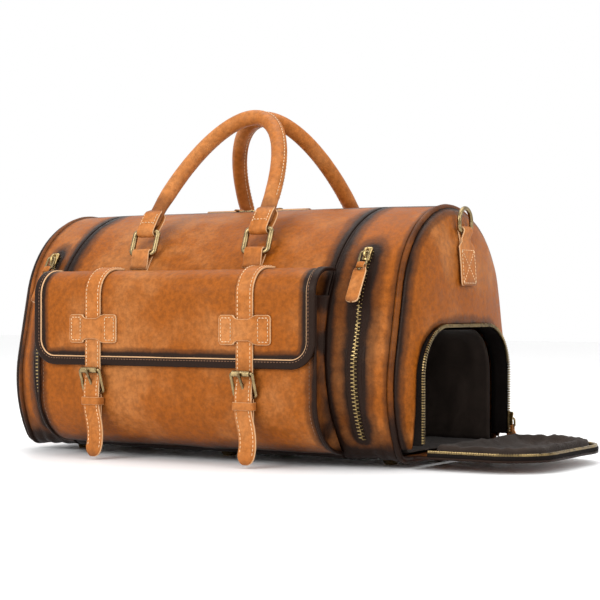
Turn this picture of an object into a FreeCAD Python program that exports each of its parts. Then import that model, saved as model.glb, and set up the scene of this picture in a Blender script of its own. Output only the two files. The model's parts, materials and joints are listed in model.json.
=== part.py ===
import FreeCAD, Part
import math
import os

# Leather weekender bag: a body stitched from panels, two rolled handles on brass rings, a front
# pocket under a buckled flap, zips, and a shoe compartment whose end flap lies open.
# Millimetres, +Z up. X runs along the bag, -Y is the front. Shapes are built about the middle of
# the body on the floor, and each placement then moves the origin to the middle of the footprint.

V = FreeCAD.Vector
UP_X, UP_Y, UP_Z = V(1, 0, 0), V(0, 1, 0), V(0, 0, 1)
doc = FreeCAD.newDocument("weekender")

# ---------------------------------------------------------------- sheet of driving sizes
sheet = doc.addObject("Spreadsheet::Sheet", "Sizes")
# pocket_top is measured down from the bag's top; ring_width is the clear width inside a ring.
SIZES = [
    ("body_length", 520.0), ("body_depth", 322.0), ("body_height", 282.0), ("base_height", 10.0),
    ("wall", 3.0), ("corner_round", 18.0), ("seam_half", 190.0), ("piping_radius", 3.5),
    ("zip_half_length", 243.0), ("zip_gap", 13.0), ("slider_length", 17.0), ("slider_width", 12.0),
    ("side_zip_place", 222.0), ("side_zip_top", 243.0), ("side_zip_bottom", 29.0),
    ("pocket_half", 193.0), ("pocket_depth", 24.0), ("pocket_foot_round", 60.0),
    ("pocket_top", 102.0), ("flap_edge_height", 110.0), ("flap_round", 26.0), ("flap_corner", 30.0),
    ("strap_place", 106.0), ("strap_width", 22.0), ("strap_thick", 3.2), ("strap_tip", 4.0),
    ("buckle_bar", 2.0), ("buckle_width", 32.5), ("buckle_height", 29.0), ("roller_radius", 3.6),
    ("handle_place", 80.0), ("handle_radius", 9.5), ("handle_reach", 180.0), ("handle_hole", 6.2),
    ("ring_bar", 3.2), ("ring_width", 26.6), ("ring_pitch", 28.0), ("ring_lean", 20.0),
    ("tab_width", 24.0), ("turn_clearance", 0.06), ("foot_radius", 12.0), ("foot_row", 64.0),
    ("shoe_half", 108.0), ("shoe_top", 154.0), ("shoe_round", 55.0), ("shoe_depth", 300.0),
    ("d_ring_bar", 2.5), ("d_ring_width", 35.0), ("d_ring_rise", 26.0),
]
ALIAS_COLUMN, VALUE_COLUMN = "A", "B"
for row, (alias, value) in enumerate(SIZES, start=1):
    sheet.set(f"{ALIAS_COLUMN}{row}", alias)
    sheet.set(f"{VALUE_COLUMN}{row}", str(value))
    sheet.setAlias(f"{VALUE_COLUMN}{row}", alias)
doc.recompute()


def size(alias):
    return float(getattr(sheet, alias))


# ---------------------------------------------------------------- derived places
wall = size("wall")
base_z = size("base_height")
top_z = base_z + size("body_height")
mid_r = size("body_depth") / 2
mid_up_z = top_z - mid_r
mid_low_z = min(base_z + 0.708 * mid_r, mid_up_z - 2)
end_x = size("body_length") / 2
end_low_r, end_up_r = 0.857 * mid_r, 0.745 * mid_r
end_up_z = top_z - 1 - end_up_r
end_low_z = min(base_z + 0.565 * end_low_r, end_up_z - (end_low_r - end_up_r) - 5)
seam_x = size("seam_half")
MID = ((mid_r, mid_r), (mid_low_z, mid_up_z))
END = ((end_low_r, end_up_r), (end_low_z, end_up_z))
PIPING_GAP = size("piping_radius") + 0.1
band_end_x, dome_x = end_x - PIPING_GAP, end_x + PIPING_GAP
SEAM_GAP, WELT_RISE = 1.5, 1.2

parts = {}


def scripted(name, shape):
    feature = doc.addObject("Part::Feature", name)
    feature.Shape = shape
    return feature


def keep(label, shape):
    """A scripted sub-part, kept under its own label."""
    return keep_object(label, scripted(label, shape))


def keep_object(label, feature):
    """A sub-part made from the document's own features, kept under its label."""
    feature.Label = label
    parts[label] = feature
    return feature


def box(x_range, y_range, z_range):
    """A block from ranges, whatever their order."""
    low = V(min(x_range), min(y_range), min(z_range))
    high = V(max(x_range), max(y_range), max(z_range))
    return Part.makeBox(high.x - low.x, high.y - low.y, high.z - low.z, low)


def flip_x(shape):
    return shape.mirror(V(0, 0, 0), UP_X)


def flip_y(shape):
    return shape.mirror(V(0, 0, 0), UP_Y)


def keep_group(label, features):
    """Several like pieces sewn to the bag, kept as one sub-part."""
    group = doc.addObject("Part::Compound", label)
    group.Links = features
    return keep_object(label, group)


def both_ends(shape):
    return Part.makeCompound([shape, flip_x(shape)])


# ---------------------------------------------------------------- outlines across the bag
def outline(x, form, floor_z, grow=0.0):
    """Closed outline at x: round top, leaning sides, rounded lower corners and a flat base."""
    (low_r, up_r), (low_z, up_z) = form
    low_r, up_r = low_r + grow, up_r + grow
    corner = max(size("corner_round") + grow, 5)
    floor = floor_z - grow
    lean = math.asin((low_r - up_r) / (up_z - low_z))
    rise = low_z - floor - corner
    corner_y = math.sqrt((low_r - corner) ** 2 - rise ** 2)
    corner_z = floor + corner
    start = math.atan2(corner_z - low_z, corner_y)
    half = (start + lean) / 2
    corner_half = (start - math.pi / 2) / 2
    side = [
        (V(x, corner_y, floor),
         V(x, corner_y + corner * math.cos(corner_half), corner_z + corner * math.sin(corner_half)),
         V(x, low_r * math.cos(start), low_z + low_r * math.sin(start))),
        (V(x, low_r * math.cos(start), low_z + low_r * math.sin(start)),
         V(x, low_r * math.cos(half), low_z + low_r * math.sin(half)),
         V(x, low_r * math.cos(lean), low_z + low_r * math.sin(lean))),
    ]
    shoulder = V(x, up_r * math.cos(lean), up_z + up_r * math.sin(lean))
    turn = [V(p.x, -p.y, p.z) for p in (side[1][2], side[1][1], side[1][0], side[0][1], side[0][0])]
    across = V(x, -shoulder.y, shoulder.z)
    edges = [Part.Arc(*side[0]).toShape(), Part.Arc(*side[1]).toShape(),
             Part.makeLine(side[1][2], shoulder),
             Part.Arc(shoulder, V(x, 0, up_z + up_r), across).toShape(),
             Part.makeLine(across, turn[0]),
             Part.Arc(turn[0], turn[1], turn[2]).toShape(),
             Part.Arc(turn[2], turn[3], turn[4]).toShape(),
             Part.makeLine(turn[4], side[0][0])]
    return Part.Wire(edges)


def barrel(grow, floor_z=base_z, half=seam_x):
    """The straight middle of the body as a solid."""
    return Part.Face(outline(-half, MID, floor_z, grow)).extrude(V(2 * half, 0, 0))


def taper(grow, floor_z=base_z):
    """The right-hand stretch that narrows from the middle section to the end section."""
    return Part.makeLoft([outline(seam_x, MID, floor_z, grow), outline(end_x, END, floor_z, grow)],
                         True, True)


DOME_STEPS = [(0.0, 1.0), (8.0, 0.9), (15.0, 0.72), (20.0, 0.45)]
dome_face_x = dome_x + DOME_STEPS[-1][0]


def dome(grow):
    """The bulged right-hand end as a solid, with a flat crown."""
    rings = []
    for step, shrink in DOME_STEPS:
        ring = outline(dome_x, END, base_z, grow)
        ring.scale(shrink, V(dome_x, 0, (base_z + top_z) / 2))
        ring.translate(V(step + (grow if step else 0.0), 0, 0))
        rings.append(ring)
    return Part.makeLoft(rings, True, True)


def arch(x, grow):
    """Outline of the shoe opening at x: straight legs under a round-cornered top."""
    half, top = size("shoe_half") + grow, size("shoe_top") + grow
    bend = size("shoe_round") + grow
    dip = bend * (1 - math.sqrt(0.5))
    low = base_z - 2
    left = [V(x, -half, low), V(x, -half, top - bend), V(x, dip - half, top - dip),
            V(x, bend - half, top)]
    right = [V(p.x, -p.y, p.z) for p in reversed(left)]
    return Part.Wire([Part.makeLine(left[0], left[1]), Part.Arc(*left[1:]).toShape(),
                      Part.makeLine(left[3], right[0]), Part.Arc(*right[:3]).toShape(),
                      Part.makeLine(right[2], right[3]), Part.makeLine(right[3], left[0])])


def arch_block(x_from, x_to, grow):
    return Part.Face(arch(x_from, grow)).extrude(V(x_to - x_from, 0, 0))


def arch_band(x_from, x_to, inner, outer, low_z):
    """A band that follows the shoe opening, open below low_z."""
    band = arch_block(x_from, x_to, outer).cut(arch_block(x_from - 1, x_to + 1, inner))
    return band.cut(box((x_from - 2, x_to + 2), (-400, 400), (-50, low_z)))


# ---------------------------------------------------------------- body panels
zip_gap = size("zip_gap")
zip_slot = box((-end_x, end_x), (-zip_gap, zip_gap), (top_z - 40, top_z + 20))
SHOE_MARGIN = 2.0
shell_middle = barrel(0).cut(barrel(-wall))
below_wall = box((-500, 500), (-300, 300), (-20, base_z + wall))
half_space = box((-500, 500), (-zip_gap, 300), (-20, 500))


def make_body():
    middle_trim = box((-500, -seam_x + SEAM_GAP), (-300, 300), (-20, 500))
    front = shell_middle.cut(below_wall).cut(half_space)
    front = front.cut(middle_trim).cut(flip_x(middle_trim))
    keep("front_panel", front)
    keep("rear_panel", flip_y(front))

    band = taper(0).cut(taper(-wall)).cut(below_wall).cut(zip_slot)
    band = band.common(box((seam_x + SEAM_GAP, band_end_x), (-300, 300), (-20, 500)))
    keep("right_band", band)
    keep("left_band", flip_x(band))

    end = dome(0).cut(dome(-wall))
    keep("left_end_panel", flip_x(end))
    keep("right_end_panel", end.cut(arch_block(dome_x - 5, dome_x + 40, SHOE_MARGIN)))

    floor_slice = box((-band_end_x, band_end_x), (-300, 300), (base_z - 1, base_z + wall))
    sole = barrel(0).fuse([taper(0), flip_x(taper(0))]).common(floor_slice).removeSplitter()
    keep("base_panel", sole)


def make_trim():
    radius = size("piping_radius")
    path = outline(end_x, END, base_z, 1.0)
    start = path.Edges[7].Vertexes[0].Point
    profile = Part.Wire([Part.makeCircle(radius, start, UP_Y)])
    piping = path.makePipeShell([profile], True, True)

    welt = barrel(WELT_RISE).cut(barrel(-wall)).cut(below_wall).cut(zip_slot)
    welt = welt.common(box((seam_x - SEAM_GAP, seam_x), (-300, 300), (base_z + wall, 500)))
    outer = taper(WELT_RISE).cut(taper(-wall)).cut(zip_slot)
    outer = outer.common(box((seam_x, seam_x + SEAM_GAP), (-300, 300), (base_z + wall, 500)))
    keep("seam_piping", both_ends(Part.makeCompound([piping, welt.fuse(outer)])))


LINING_GAP, LINING_THICK, BOARD_THICK = 0.6, 1.0, 2.0
lining_floor = base_z + wall + BOARD_THICK + LINING_GAP


def lining_solid(inset):
    """Room inside the body, inset from the leather, with its floor above the base board."""
    floor_z = lining_floor - LINING_GAP - wall
    middle = barrel(-inset, floor_z)
    right = taper(-inset, floor_z).common(box((0, end_x - 8 - inset), (-300, 300), (-20, 500)))
    return middle.fuse([right, flip_x(right)]).removeSplitter()


def make_inside():
    outer, inner = wall + LINING_GAP, wall + LINING_GAP + LINING_THICK
    lining = lining_solid(outer).cut(lining_solid(inner))
    edge = zip_gap + TAPE_MARGIN + LINING_GAP
    lining = lining.cut(box((-end_x, end_x), (-edge, edge), (top_z - 40, top_z + 20)))
    lining = lining.cut(arch_block(0, end_x, -1.0))
    keep("body_lining", lining)

    board = doc.addObject("Part::Box", "base_board")
    board.setExpression("Length", "2 * (Sizes.seam_half + 55)")
    board.setExpression("Width", "0.6 * Sizes.body_depth")
    board.Height = BOARD_THICK
    board.Placement.Base = V(-(seam_x + 55), -0.3 * size("body_depth"), base_z + wall + 0.1)
    keep_object("base_board", board)

    inner_x = end_x - size("shoe_depth")
    tunnel = arch_block(inner_x, dome_x, -2.0).cut(arch_block(inner_x + 1, dome_x + 1, -3.0))
    floor_cut = box((-500, 500), (-300, 300), (-20, lining_floor + 2))
    keep_floor = box((inner_x, dome_x), (-(size("shoe_half") - 2), size("shoe_half") - 2),
                     (lining_floor + 2, lining_floor + 3))
    keep("shoe_lining", tunnel.cut(floor_cut).fuse(keep_floor).removeSplitter())


def make_feet():
    """Six brass feet under the base, one turned shape in two rows of three."""
    cones = []
    for x in (-220, 0, 220):
        for y in (-size("foot_row"), size("foot_row")):
            cone = doc.addObject("Part::Cone", "foot")
            cone.setExpression("Radius2", "Sizes.foot_radius")
            cone.setExpression("Radius1", "Sizes.foot_radius * 0.62")
            cone.setExpression("Height", "Sizes.base_height")
            cone.Placement.Base = V(x, y, 0)
            cones.append(cone)
    feet = doc.addObject("Part::MultiFuse", "feet")
    feet.Shapes = cones
    keep_object("feet", feet)


# ---------------------------------------------------------------- zips
TAPE_THICK, TEETH_HALF, TEETH_RISE = 1.2, 3.2, 2.4
tape_top = top_z - wall - 2.6
TAPE_MARGIN = 5.0
SLIDER_GAP = 0.4


def make_top_zip():
    half_length = size("zip_half_length")
    span = (-half_length - 4, half_length + 4)
    half_width = zip_gap + TAPE_MARGIN
    tape = box(span, (-half_width, half_width), (tape_top - TAPE_THICK, tape_top))
    teeth = doc.addObject("Part::Box", "top_zip_teeth")
    teeth.setExpression("Length", "2 * Sizes.zip_half_length")
    teeth.Width, teeth.Height = 2 * TEETH_HALF, TEETH_RISE
    teeth.Placement.Base = V(-half_length, -TEETH_HALF, tape_top)
    keep("top_zip_tape", tape)
    return teeth


def slider(center, length, width):
    """Zip slider on a chain that runs along X, its bridge on top; center is the chain's top."""
    floor_z = center.z - TEETH_RISE + SLIDER_GAP
    body = box((center.x - length / 2, center.x + length / 2),
               (center.y - width / 2, center.y + width / 2), (floor_z, center.z + 3.2))
    channel = box((center.x - length, center.x + length),
                  (-TEETH_HALF - SLIDER_GAP + center.y, TEETH_HALF + SLIDER_GAP + center.y),
                  (floor_z - 5, center.z + SLIDER_GAP))
    bridge = box((center.x - 5, center.x + 5), (center.y - 1.6, center.y + 1.6),
                 (center.z + 3, center.z + 8.5))
    hole = Part.makeCylinder(1.9, 8, center + V(0, -4, 5.6), UP_Y)
    return body.cut(channel).fuse(bridge).cut(hole)


LINK_BAR, LINK_LENGTH, TAB_LENGTH = 1.3, 16.0, 46.0
SHORT_LINK, SHORT_TAB = 10.0, 24.0


def link(pivot, across, along, length=LINK_LENGTH):
    """Wire link: a rounded rectangle that starts at the pivot and reaches along."""
    half, bend = 5.0, 2.5
    end = pivot + along * length
    corners = [pivot - across * half, end - across * half, end + across * half,
               pivot + across * half]
    return rounded_loop(corners, bend, LINK_BAR)


def rounded_loop(corners, bend, radius):
    """A round wire bent into a closed loop through four corners with rounded bends."""
    edges, bends = [], []
    count = len(corners)
    for index in range(count):
        here = corners[index]
        before = (corners[index - 1] - here).normalize()
        after = (corners[(index + 1) % count] - here).normalize()
        center = here + (before + after) * bend
        inner = (here - center).normalize() * bend
        bends.append((here + before * bend, center + inner, here + after * bend))
    for index in range(count):
        edges.append(Part.Arc(*bends[index]).toShape())
        edges.append(Part.makeLine(bends[index][2], bends[(index + 1) % count][0]))
    start, end = [vertex.Point for vertex in edges[1].Vertexes]
    ring = Part.Wire([Part.makeCircle(radius, start, end - start)])
    path = Part.Wire(edges[1:] + edges[:1])
    return path.makePipeShell([ring], True, True)


def pull_tab(label, name, place, length=TAB_LENGTH):
    """Leather pull: one padded outline with a round end."""
    width, thick = 16.0, 3.0
    body = doc.addObject("PartDesign::Body", name)
    sketch = body.newObject("Sketcher::SketchObject", name + "_outline")
    plane = [f for f in body.Origin.OriginFeatures if f.Role == "XY_Plane"][0]
    sketch.AttachmentSupport = [(plane, "")]
    sketch.MapMode = "FlatFace"
    half = width / 2
    sketch.addGeometry(Part.LineSegment(V(0, -half, 0), V(length - half, -half, 0)), False)
    sketch.addGeometry(Part.Arc(V(length - half, -half, 0), V(length, 0, 0),
                                V(length - half, half, 0)), False)
    sketch.addGeometry(Part.LineSegment(V(length - half, half, 0), V(0, half, 0)), False)
    sketch.addGeometry(Part.LineSegment(V(0, half, 0), V(0, -half, 0)), False)
    pad = body.newObject("PartDesign::Pad", name + "_pad")
    pad.Profile = sketch
    pad.Length = thick
    body.Placement = place
    keep_object(label, body)


def pull_frame(origin, along, up):
    """Placement of a pull that starts at origin and reaches along, with its face towards up."""
    across = up.cross(along)
    matrix = FreeCAD.Matrix(along.x, across.x, up.x, origin.x, along.y, across.y, up.y, origin.y,
                            along.z, across.z, up.z, origin.z, 0, 0, 0, 1)
    return FreeCAD.Placement(matrix)


TOP_SLIDER_X = 10.0


def make_top_sliders():
    for side, sign in (("left", -1), ("right", 1)):
        center = V(sign * TOP_SLIDER_X, 0, tape_top + TEETH_RISE)
        keep(f"top_slider_{side}", slider(center, size("slider_length"), size("slider_width")))
        pivot = center + V(0, 0, 5.6)
        out = V(sign, 0, 0)
        keep(f"top_pull_link_{side}", link(pivot, UP_Y, out))
        pull_tab(f"top_pull_tab_{side}", f"top_tab_{side}",
                 pull_frame(pivot + out * (LINK_LENGTH + LINK_BAR + 0.1) - V(0, 0, 1.5), out, UP_Z))


zip_x = size("side_zip_place")
zip_share = (zip_x - seam_x) / (end_x - seam_x)
arc_low_r, arc_up_r, arc_low_z, arc_up_z = [
    middle + (end - middle) * zip_share for middle, end in zip(MID[0] + MID[1], END[0] + END[1])]
TRAVEL_TOP, TRAVEL_BOTTOM = 232.0, 66.0
SIDE_CHAIN_GAP = 1.2


def side_surface(z):
    """Distance of the wall from the middle plane at height z, where the side zip runs."""
    lean = math.asin((arc_low_r - arc_up_r) / (arc_up_z - arc_low_z))
    if z > arc_up_z + arc_up_r * math.sin(lean):
        return math.sqrt(arc_up_r ** 2 - (z - arc_up_z) ** 2)
    if z < arc_low_z + arc_low_r * math.sin(lean):
        return math.sqrt(arc_low_r ** 2 - (z - arc_low_z) ** 2)
    return (arc_up_r - (z - arc_up_z) * math.sin(lean)) / math.cos(lean)


def circle_through(points):
    curve = Part.Arc(*[V(0, y, z) for y, z in points]).toShape().Curve
    return curve.Center, curve.Radius


side_points = [(-side_surface(z), z) for z in (TRAVEL_TOP, (TRAVEL_TOP + TRAVEL_BOTTOM) / 2,
                                               TRAVEL_BOTTOM)]
side_center, side_radius = circle_through(side_points)
side_drift = max(abs(math.hypot(-side_surface(z) - side_center.y, z - side_center.z) - side_radius)
                 for z in range(int(TRAVEL_BOTTOM), int(TRAVEL_TOP) + 1, 5))
side_angle = math.atan2(-side_points[0][0] + side_center.y, TRAVEL_TOP - side_center.z)


def make_side_zips():
    """Zip tapes and teeth laid on the tapering walls, front side only."""
    low, high = size("side_zip_bottom"), size("side_zip_top")
    tape = taper(TAPE_THICK).cut(taper(0.05))
    tape = tape.common(box((zip_x - 8, zip_x + 8), (-300, 0), (low, high)))
    teeth = taper(TAPE_THICK + 2.0).cut(taper(TAPE_THICK))
    teeth = teeth.common(box((zip_x - 2.5, zip_x + 2.5), (-300, 0), (low + 4, high - 4)))
    keep("side_zip_tapes", both_ends(tape))
    return scripted("side_zip_teeth", both_ends(teeth))


def make_side_sliders():
    """Sliders ride an arc, so each is built flat, then turned about the arc's centre."""
    chain = side_radius + TAPE_THICK + 2.0 + side_drift + SIDE_CHAIN_GAP
    for side, sign in (("left", -1), ("right", 1)):
        center = V(0, 0, chain)
        turn = FreeCAD.Rotation(UP_Z, 90)
        built = slider(center, size("slider_length"), size("slider_width") - 1)
        pivot = center + V(0, 0, 5.6)
        out = V(1, 0, 0)
        wire = link(pivot, UP_Y, out)
        tab_place = pull_frame(pivot + out * (LINK_LENGTH + LINK_BAR + 0.1) - V(0, 0, 1.5), out, UP_Z)
        to_front = FreeCAD.Placement(V(0, 0, 0), FreeCAD.Rotation(UP_Z, -90))
        to_arc = FreeCAD.Placement(V(sign * zip_x, side_center.y, side_center.z),
                                   FreeCAD.Rotation(UP_X, math.degrees(side_angle)))
        place = to_arc.multiply(to_front)
        keep(f"side_slider_{side}", built.transformed(place.toMatrix(), True))
        keep(f"side_pull_link_{side}", wire.transformed(place.toMatrix(), True))
        pull_tab(f"side_pull_tab_{side}", f"side_tab_{side}", place.multiply(tab_place))


# ---------------------------------------------------------------- handles and rings
grip_angle = math.radians(50)
ring_stand = mid_r + 8.5
ring_pivot = V(0, -ring_stand * math.sin(grip_angle), mid_up_z + ring_stand * math.cos(grip_angle))
ring_lean = math.radians(size("ring_lean"))
ring_up = V(0, math.sin(ring_lean), math.cos(ring_lean))
ring_top = ring_pivot + ring_up * size("ring_pitch")
handle_lean = math.asin((-ring_top.y - size("handle_radius") - 1) / size("handle_reach"))
handle_up = V(0, math.sin(handle_lean), math.cos(handle_lean))
handle_x = size("handle_place")


def along_x_tube(center, length, outer, inner):
    start = center - V(length / 2, 0, 0)
    tube = Part.makeCylinder(outer, length, start, UP_X)
    return tube.cut(Part.makeCylinder(inner, length + 2, start - V(1, 0, 0), UP_X))


def handle_path():
    """Half an ellipse from ring to ring, in the handle's leaning plane."""
    ellipse = Part.Ellipse(V(0, 0, 0), size("handle_reach"), handle_x)
    edge = Part.ArcOfEllipse(ellipse, -math.pi / 2, math.pi / 2).toShape()
    normal = UP_X.cross(handle_up)
    frame = FreeCAD.Placement(FreeCAD.Matrix(handle_up.x, -1, normal.x, ring_top.x,
                                             handle_up.y, 0, normal.y, ring_top.y,
                                             handle_up.z, 0, normal.z, ring_top.z, 0, 0, 0, 1))
    return edge.transformed(frame.toMatrix(), True)


def handle_tube(radius):
    path = handle_path()
    start = path.valueAt(path.FirstParameter)
    direction = path.tangentAt(path.FirstParameter)
    profile = Part.Wire([Part.makeCircle(radius, start, direction)])
    return Part.Wire([path]).makePipeShell([profile], True, True)


HANDLE_START = 26.0


def make_handles():
    """Rolled handles over a core; each end flattens and folds round the top bar of its ring."""
    bar, play, width = size("ring_bar"), size("turn_clearance"), size("tab_width")
    eye_r = bar + 4.0
    strap_ends, eye_cuts = [], []
    for sign in (-1, 1):
        eye = ring_top + V(sign * handle_x, 0, 0)
        strap = box((-width / 2, width / 2), (-eye_r, eye_r), (0, HANDLE_START + 14))
        lean = FreeCAD.Placement(eye, FreeCAD.Rotation(UP_X, -math.degrees(handle_lean)))
        strap = strap.transformed(lean.toMatrix(), True)
        strap_ends.append(strap.fuse(Part.makeCylinder(eye_r, width, eye - V(width / 2, 0, 0), UP_X)))
        eye_cuts.append(Part.makeCylinder(bar + play, width + 2, eye - V(width / 2 + 1, 0, 0), UP_X))
    below = box((-200, 200), (-50, 50), (-50, HANDLE_START))
    lean = FreeCAD.Placement(ring_top, FreeCAD.Rotation(UP_X, -math.degrees(handle_lean)))
    below = below.transformed(lean.toMatrix(), True)
    tube = handle_tube(size("handle_radius")).cut(below)
    core = handle_tube(size("handle_hole")).cut(below)
    cover = tube.fuse(strap_ends).cut(eye_cuts).cut(core)
    keep("handle_front", cover)
    keep("handle_core_front", core)
    keep("handle_rear", flip_y(cover))
    keep("handle_core_rear", flip_y(core))


def make_rings():
    bar = size("ring_bar")
    half = size("ring_width") / 2 + bar
    rings = []
    for sign in (-1, 1):
        low, high = ring_pivot + V(sign * handle_x, 0, 0), ring_top + V(sign * handle_x, 0, 0)
        corners = [low - UP_X * half, low + UP_X * half, high + UP_X * half, high - UP_X * half]
        rings.append(rounded_loop(corners, bar + 0.9, bar))
    pair = Part.makeCompound(rings)
    keep("handle_rings_front", pair)
    keep("handle_rings_rear", flip_y(pair))


TAB_CLEAR = 0.3


def make_handle_tabs():
    """Leather tabs: each loops round the lower bar and runs down the body, sewn to it."""
    bar, play, width = size("ring_bar"), size("turn_clearance"), size("tab_width")
    tabs = []

    def strip(low, high, start, end):
        ring = Part.makeCylinder(high, width, V(-width / 2, 0, mid_up_z), UP_X)
        ring = ring.cut(Part.makeCylinder(low, width, V(-width / 2, 0, mid_up_z), UP_X))
        far = 2 * mid_r
        corners = [V(-width, 0, mid_up_z)]
        for angle in (start, (start + end) / 2, end):
            turn = math.radians(angle)
            corners.append(V(-width, -far * math.sin(turn), mid_up_z + far * math.cos(turn)))
        wedge = Part.Face(Part.makePolygon(corners + [corners[0]])).extrude(V(2 * width, 0, 0))
        return ring.common(wedge)

    inner = mid_r + TAB_CLEAR
    loop = Part.makeCylinder(bar + 3.0, width, ring_pivot - V(width / 2, 0, 0), UP_X)
    tab = strip(inner, inner + 6, 50.5, 55.5).fuse([strip(inner, inner + 3, 50.5, 84), loop])
    tab = tab.cut(Part.makeCylinder(bar + play, width + 2, ring_pivot - V(width / 2 + 1, 0, 0), UP_X))
    tab = tab.cut(Part.makeCylinder(mid_r + 0.1, 60, V(-30, 0, mid_up_z), UP_X))
    for sign in (-1, 1):
        placed = tab.copy()
        placed.translate(V(sign * handle_x, 0, 0))
        tabs += [placed, flip_y(placed)]
    keep("handle_tabs", Part.makeCompound(tabs))


# ---------------------------------------------------------------- front pocket
pocket_half = size("pocket_half")
pocket_y = -(mid_r + size("pocket_depth"))
foot_round = size("pocket_foot_round")
foot_z = base_z + 5


def pocket_path(offset):
    """Line of the pocket's front: straight down, then round under to the foot of the body."""
    y = pocket_y + offset
    bend = foot_round - offset
    low = foot_z + offset
    center = V(0, y + bend, low + bend)
    corner = center + V(0, -bend, -bend) * math.sqrt(0.5)
    return [V(0, y, top_z - size("pocket_top")), V(0, y, center.z), corner, V(0, center.y, low)]


def pocket_block(offset, half):
    """Solid between the pocket's front line and the middle plane of the bag."""
    top, bend, corner, low = pocket_path(offset)
    edges = [Part.makeLine(top, bend), Part.Arc(bend, corner, low).toShape(),
             Part.makeLine(low, V(0, 0, low.z)), Part.makeLine(V(0, 0, low.z), V(0, 0, top.z)),
             Part.makeLine(V(0, 0, top.z), top)]
    block = Part.Face(Part.Wire(edges)).extrude(V(2 * half, 0, 0))
    block.translate(V(-half, 0, 0))
    return block


def make_pocket():
    clear = WELT_RISE + TAB_CLEAR
    body = barrel(clear, base_z, seam_x + 20)
    face = pocket_block(0, pocket_half).cut(pocket_block(wall, pocket_half + 5)).cut(body)
    upper = box((-300, 300), (-300, 0), (foot_z - 1, 400))
    face = face.common(upper)
    sides = pocket_block(wall, pocket_half).cut(pocket_block(wall - 5, pocket_half - wall))
    sides = sides.cut(body).cut(taper(clear)).cut(flip_x(taper(clear)))
    outermost = max(face.Solids, key=lambda solid: solid.Volume)
    keep("front_pocket_face", outermost)
    keep("front_pocket_sides", Part.makeCompound([s for s in sides.Solids if s.Volume > 1000]))


FLAP_THICK = 3.0
hinge_angle = math.radians(58.6)
hinge_stand = mid_r + 7
flap_pivot = V(0, -hinge_stand * math.sin(hinge_angle), mid_up_z + hinge_stand * math.cos(hinge_angle))
flap_y = pocket_y - 1.5


def front_ribbon(offset, low_z, thickness, top_y=None):
    """Face of a strip that leaves the hinge line, bends over the pocket and drops to low_z."""
    top = flap_pivot.z - FLAP_THICK / 2 + offset
    bend = size("flap_round") + offset
    y = flap_y - offset
    start = flap_pivot.y if top_y is None else top_y
    center = V(0, y + bend, top - bend)
    corner = center + V(0, -bend, bend) * math.sqrt(0.5)
    path = [Part.makeLine(V(0, start, top), V(0, center.y, top)),
            Part.Arc(V(0, center.y, top), corner, V(0, y, center.z)).toShape(),
            Part.makeLine(V(0, y, center.z), V(0, y, low_z))]
    return Part.Wire(path).makeOffset2D(thickness, 0, True, True)


def across(face, x, width):
    solid = face.extrude(V(width, 0, 0))
    solid.translate(V(x - width / 2, 0, 0))
    return solid


def flap_outline(grow):
    """Front view of the flap, with rounded lower corners."""
    half, low, corner = pocket_half + 2 + grow, size("flap_edge_height") - grow, size("flap_corner")
    block = box((-half, half), (-400, 0), (low, 400))
    edges = [e for e in block.Edges if abs(e.BoundBox.ZMax - low) < 0.01 and e.BoundBox.YLength > 100]
    return block.makeFillet(corner + grow, edges)


def make_flap():
    half = pocket_half + 2
    sheet_solid = across(front_ribbon(0, size("flap_edge_height"), FLAP_THICK), 0, 2 * half)
    sheet_solid = sheet_solid.common(flap_outline(0))
    keep("pocket_flap", sheet_solid)
    strip = across(front_ribbon(FLAP_THICK, size("flap_edge_height"), 1.2), 0, 2 * half)
    strip = strip.common(flap_outline(0)).cut(flap_outline(-12))
    straps = strap_room(1.0)
    keep("flap_binding", strip.cut(straps))


strap_w, strap_t = size("strap_width"), size("strap_thick")
strap_x = size("strap_place")
front_y = flap_y - FLAP_THICK
ROLLER_DROP = 6.0
roller_z = size("flap_edge_height") - ROLLER_DROP
bar_z = roller_z - size("buckle_height") + 2 * size("buckle_bar")
roller_y = front_y - strap_t - size("roller_radius") - 0.9
bar_y = front_y + 0.5
LOOP_BACK = 1.6


def strap_room(clear):
    """Space that the two straps take on the flap, with some clearance."""
    blocks = [across(front_ribbon(FLAP_THICK - 2, size("strap_tip"), strap_t + 6), sign * strap_x,
                     strap_w + 2 * clear) for sign in (-1, 1)]
    return Part.makeCompound(blocks)


SLOT_BELOW_BAR = 4.0


def strap_shape():
    """Flat strap from the hinge line over the flap; it bulges over the buckle's lower bar."""
    top_part = across(front_ribbon(FLAP_THICK, roller_z + 8, strap_t, flap_pivot.y - 2), 0, strap_w)
    y0 = front_y
    bulge_y = bar_y - size("buckle_bar") - 1.2 - 0.3
    points = [V(0, y0, roller_z + 8), V(0, y0, roller_z - 4), V(0, bulge_y, bar_z + 4),
              V(0, bulge_y, bar_z - 8), V(0, bulge_y, size("strap_tip"))]
    edges = [Part.makeLine(a, b) for a, b in zip(points, points[1:])]
    tail = across(Part.Wire(edges).makeOffset2D(strap_t, 2, True, True), 0, strap_w)
    tip = box((-strap_w / 2, strap_w / 2), (-300, 0), (size("strap_tip"), roller_z + 20))
    tip_edges = [e for e in tip.Edges if abs(e.BoundBox.ZMax - size("strap_tip")) < 0.01
                 and e.BoundBox.YLength > 100]
    tail = tail.common(tip.makeFillet(strap_w / 2 - 0.5, tip_edges))
    slot = box((-3, 3), (-300, 0), (bar_z - SLOT_BELOW_BAR, roller_z - 3))
    return top_part.fuse(tail).cut(slot)


KEEPER_RISE = 1.485


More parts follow.
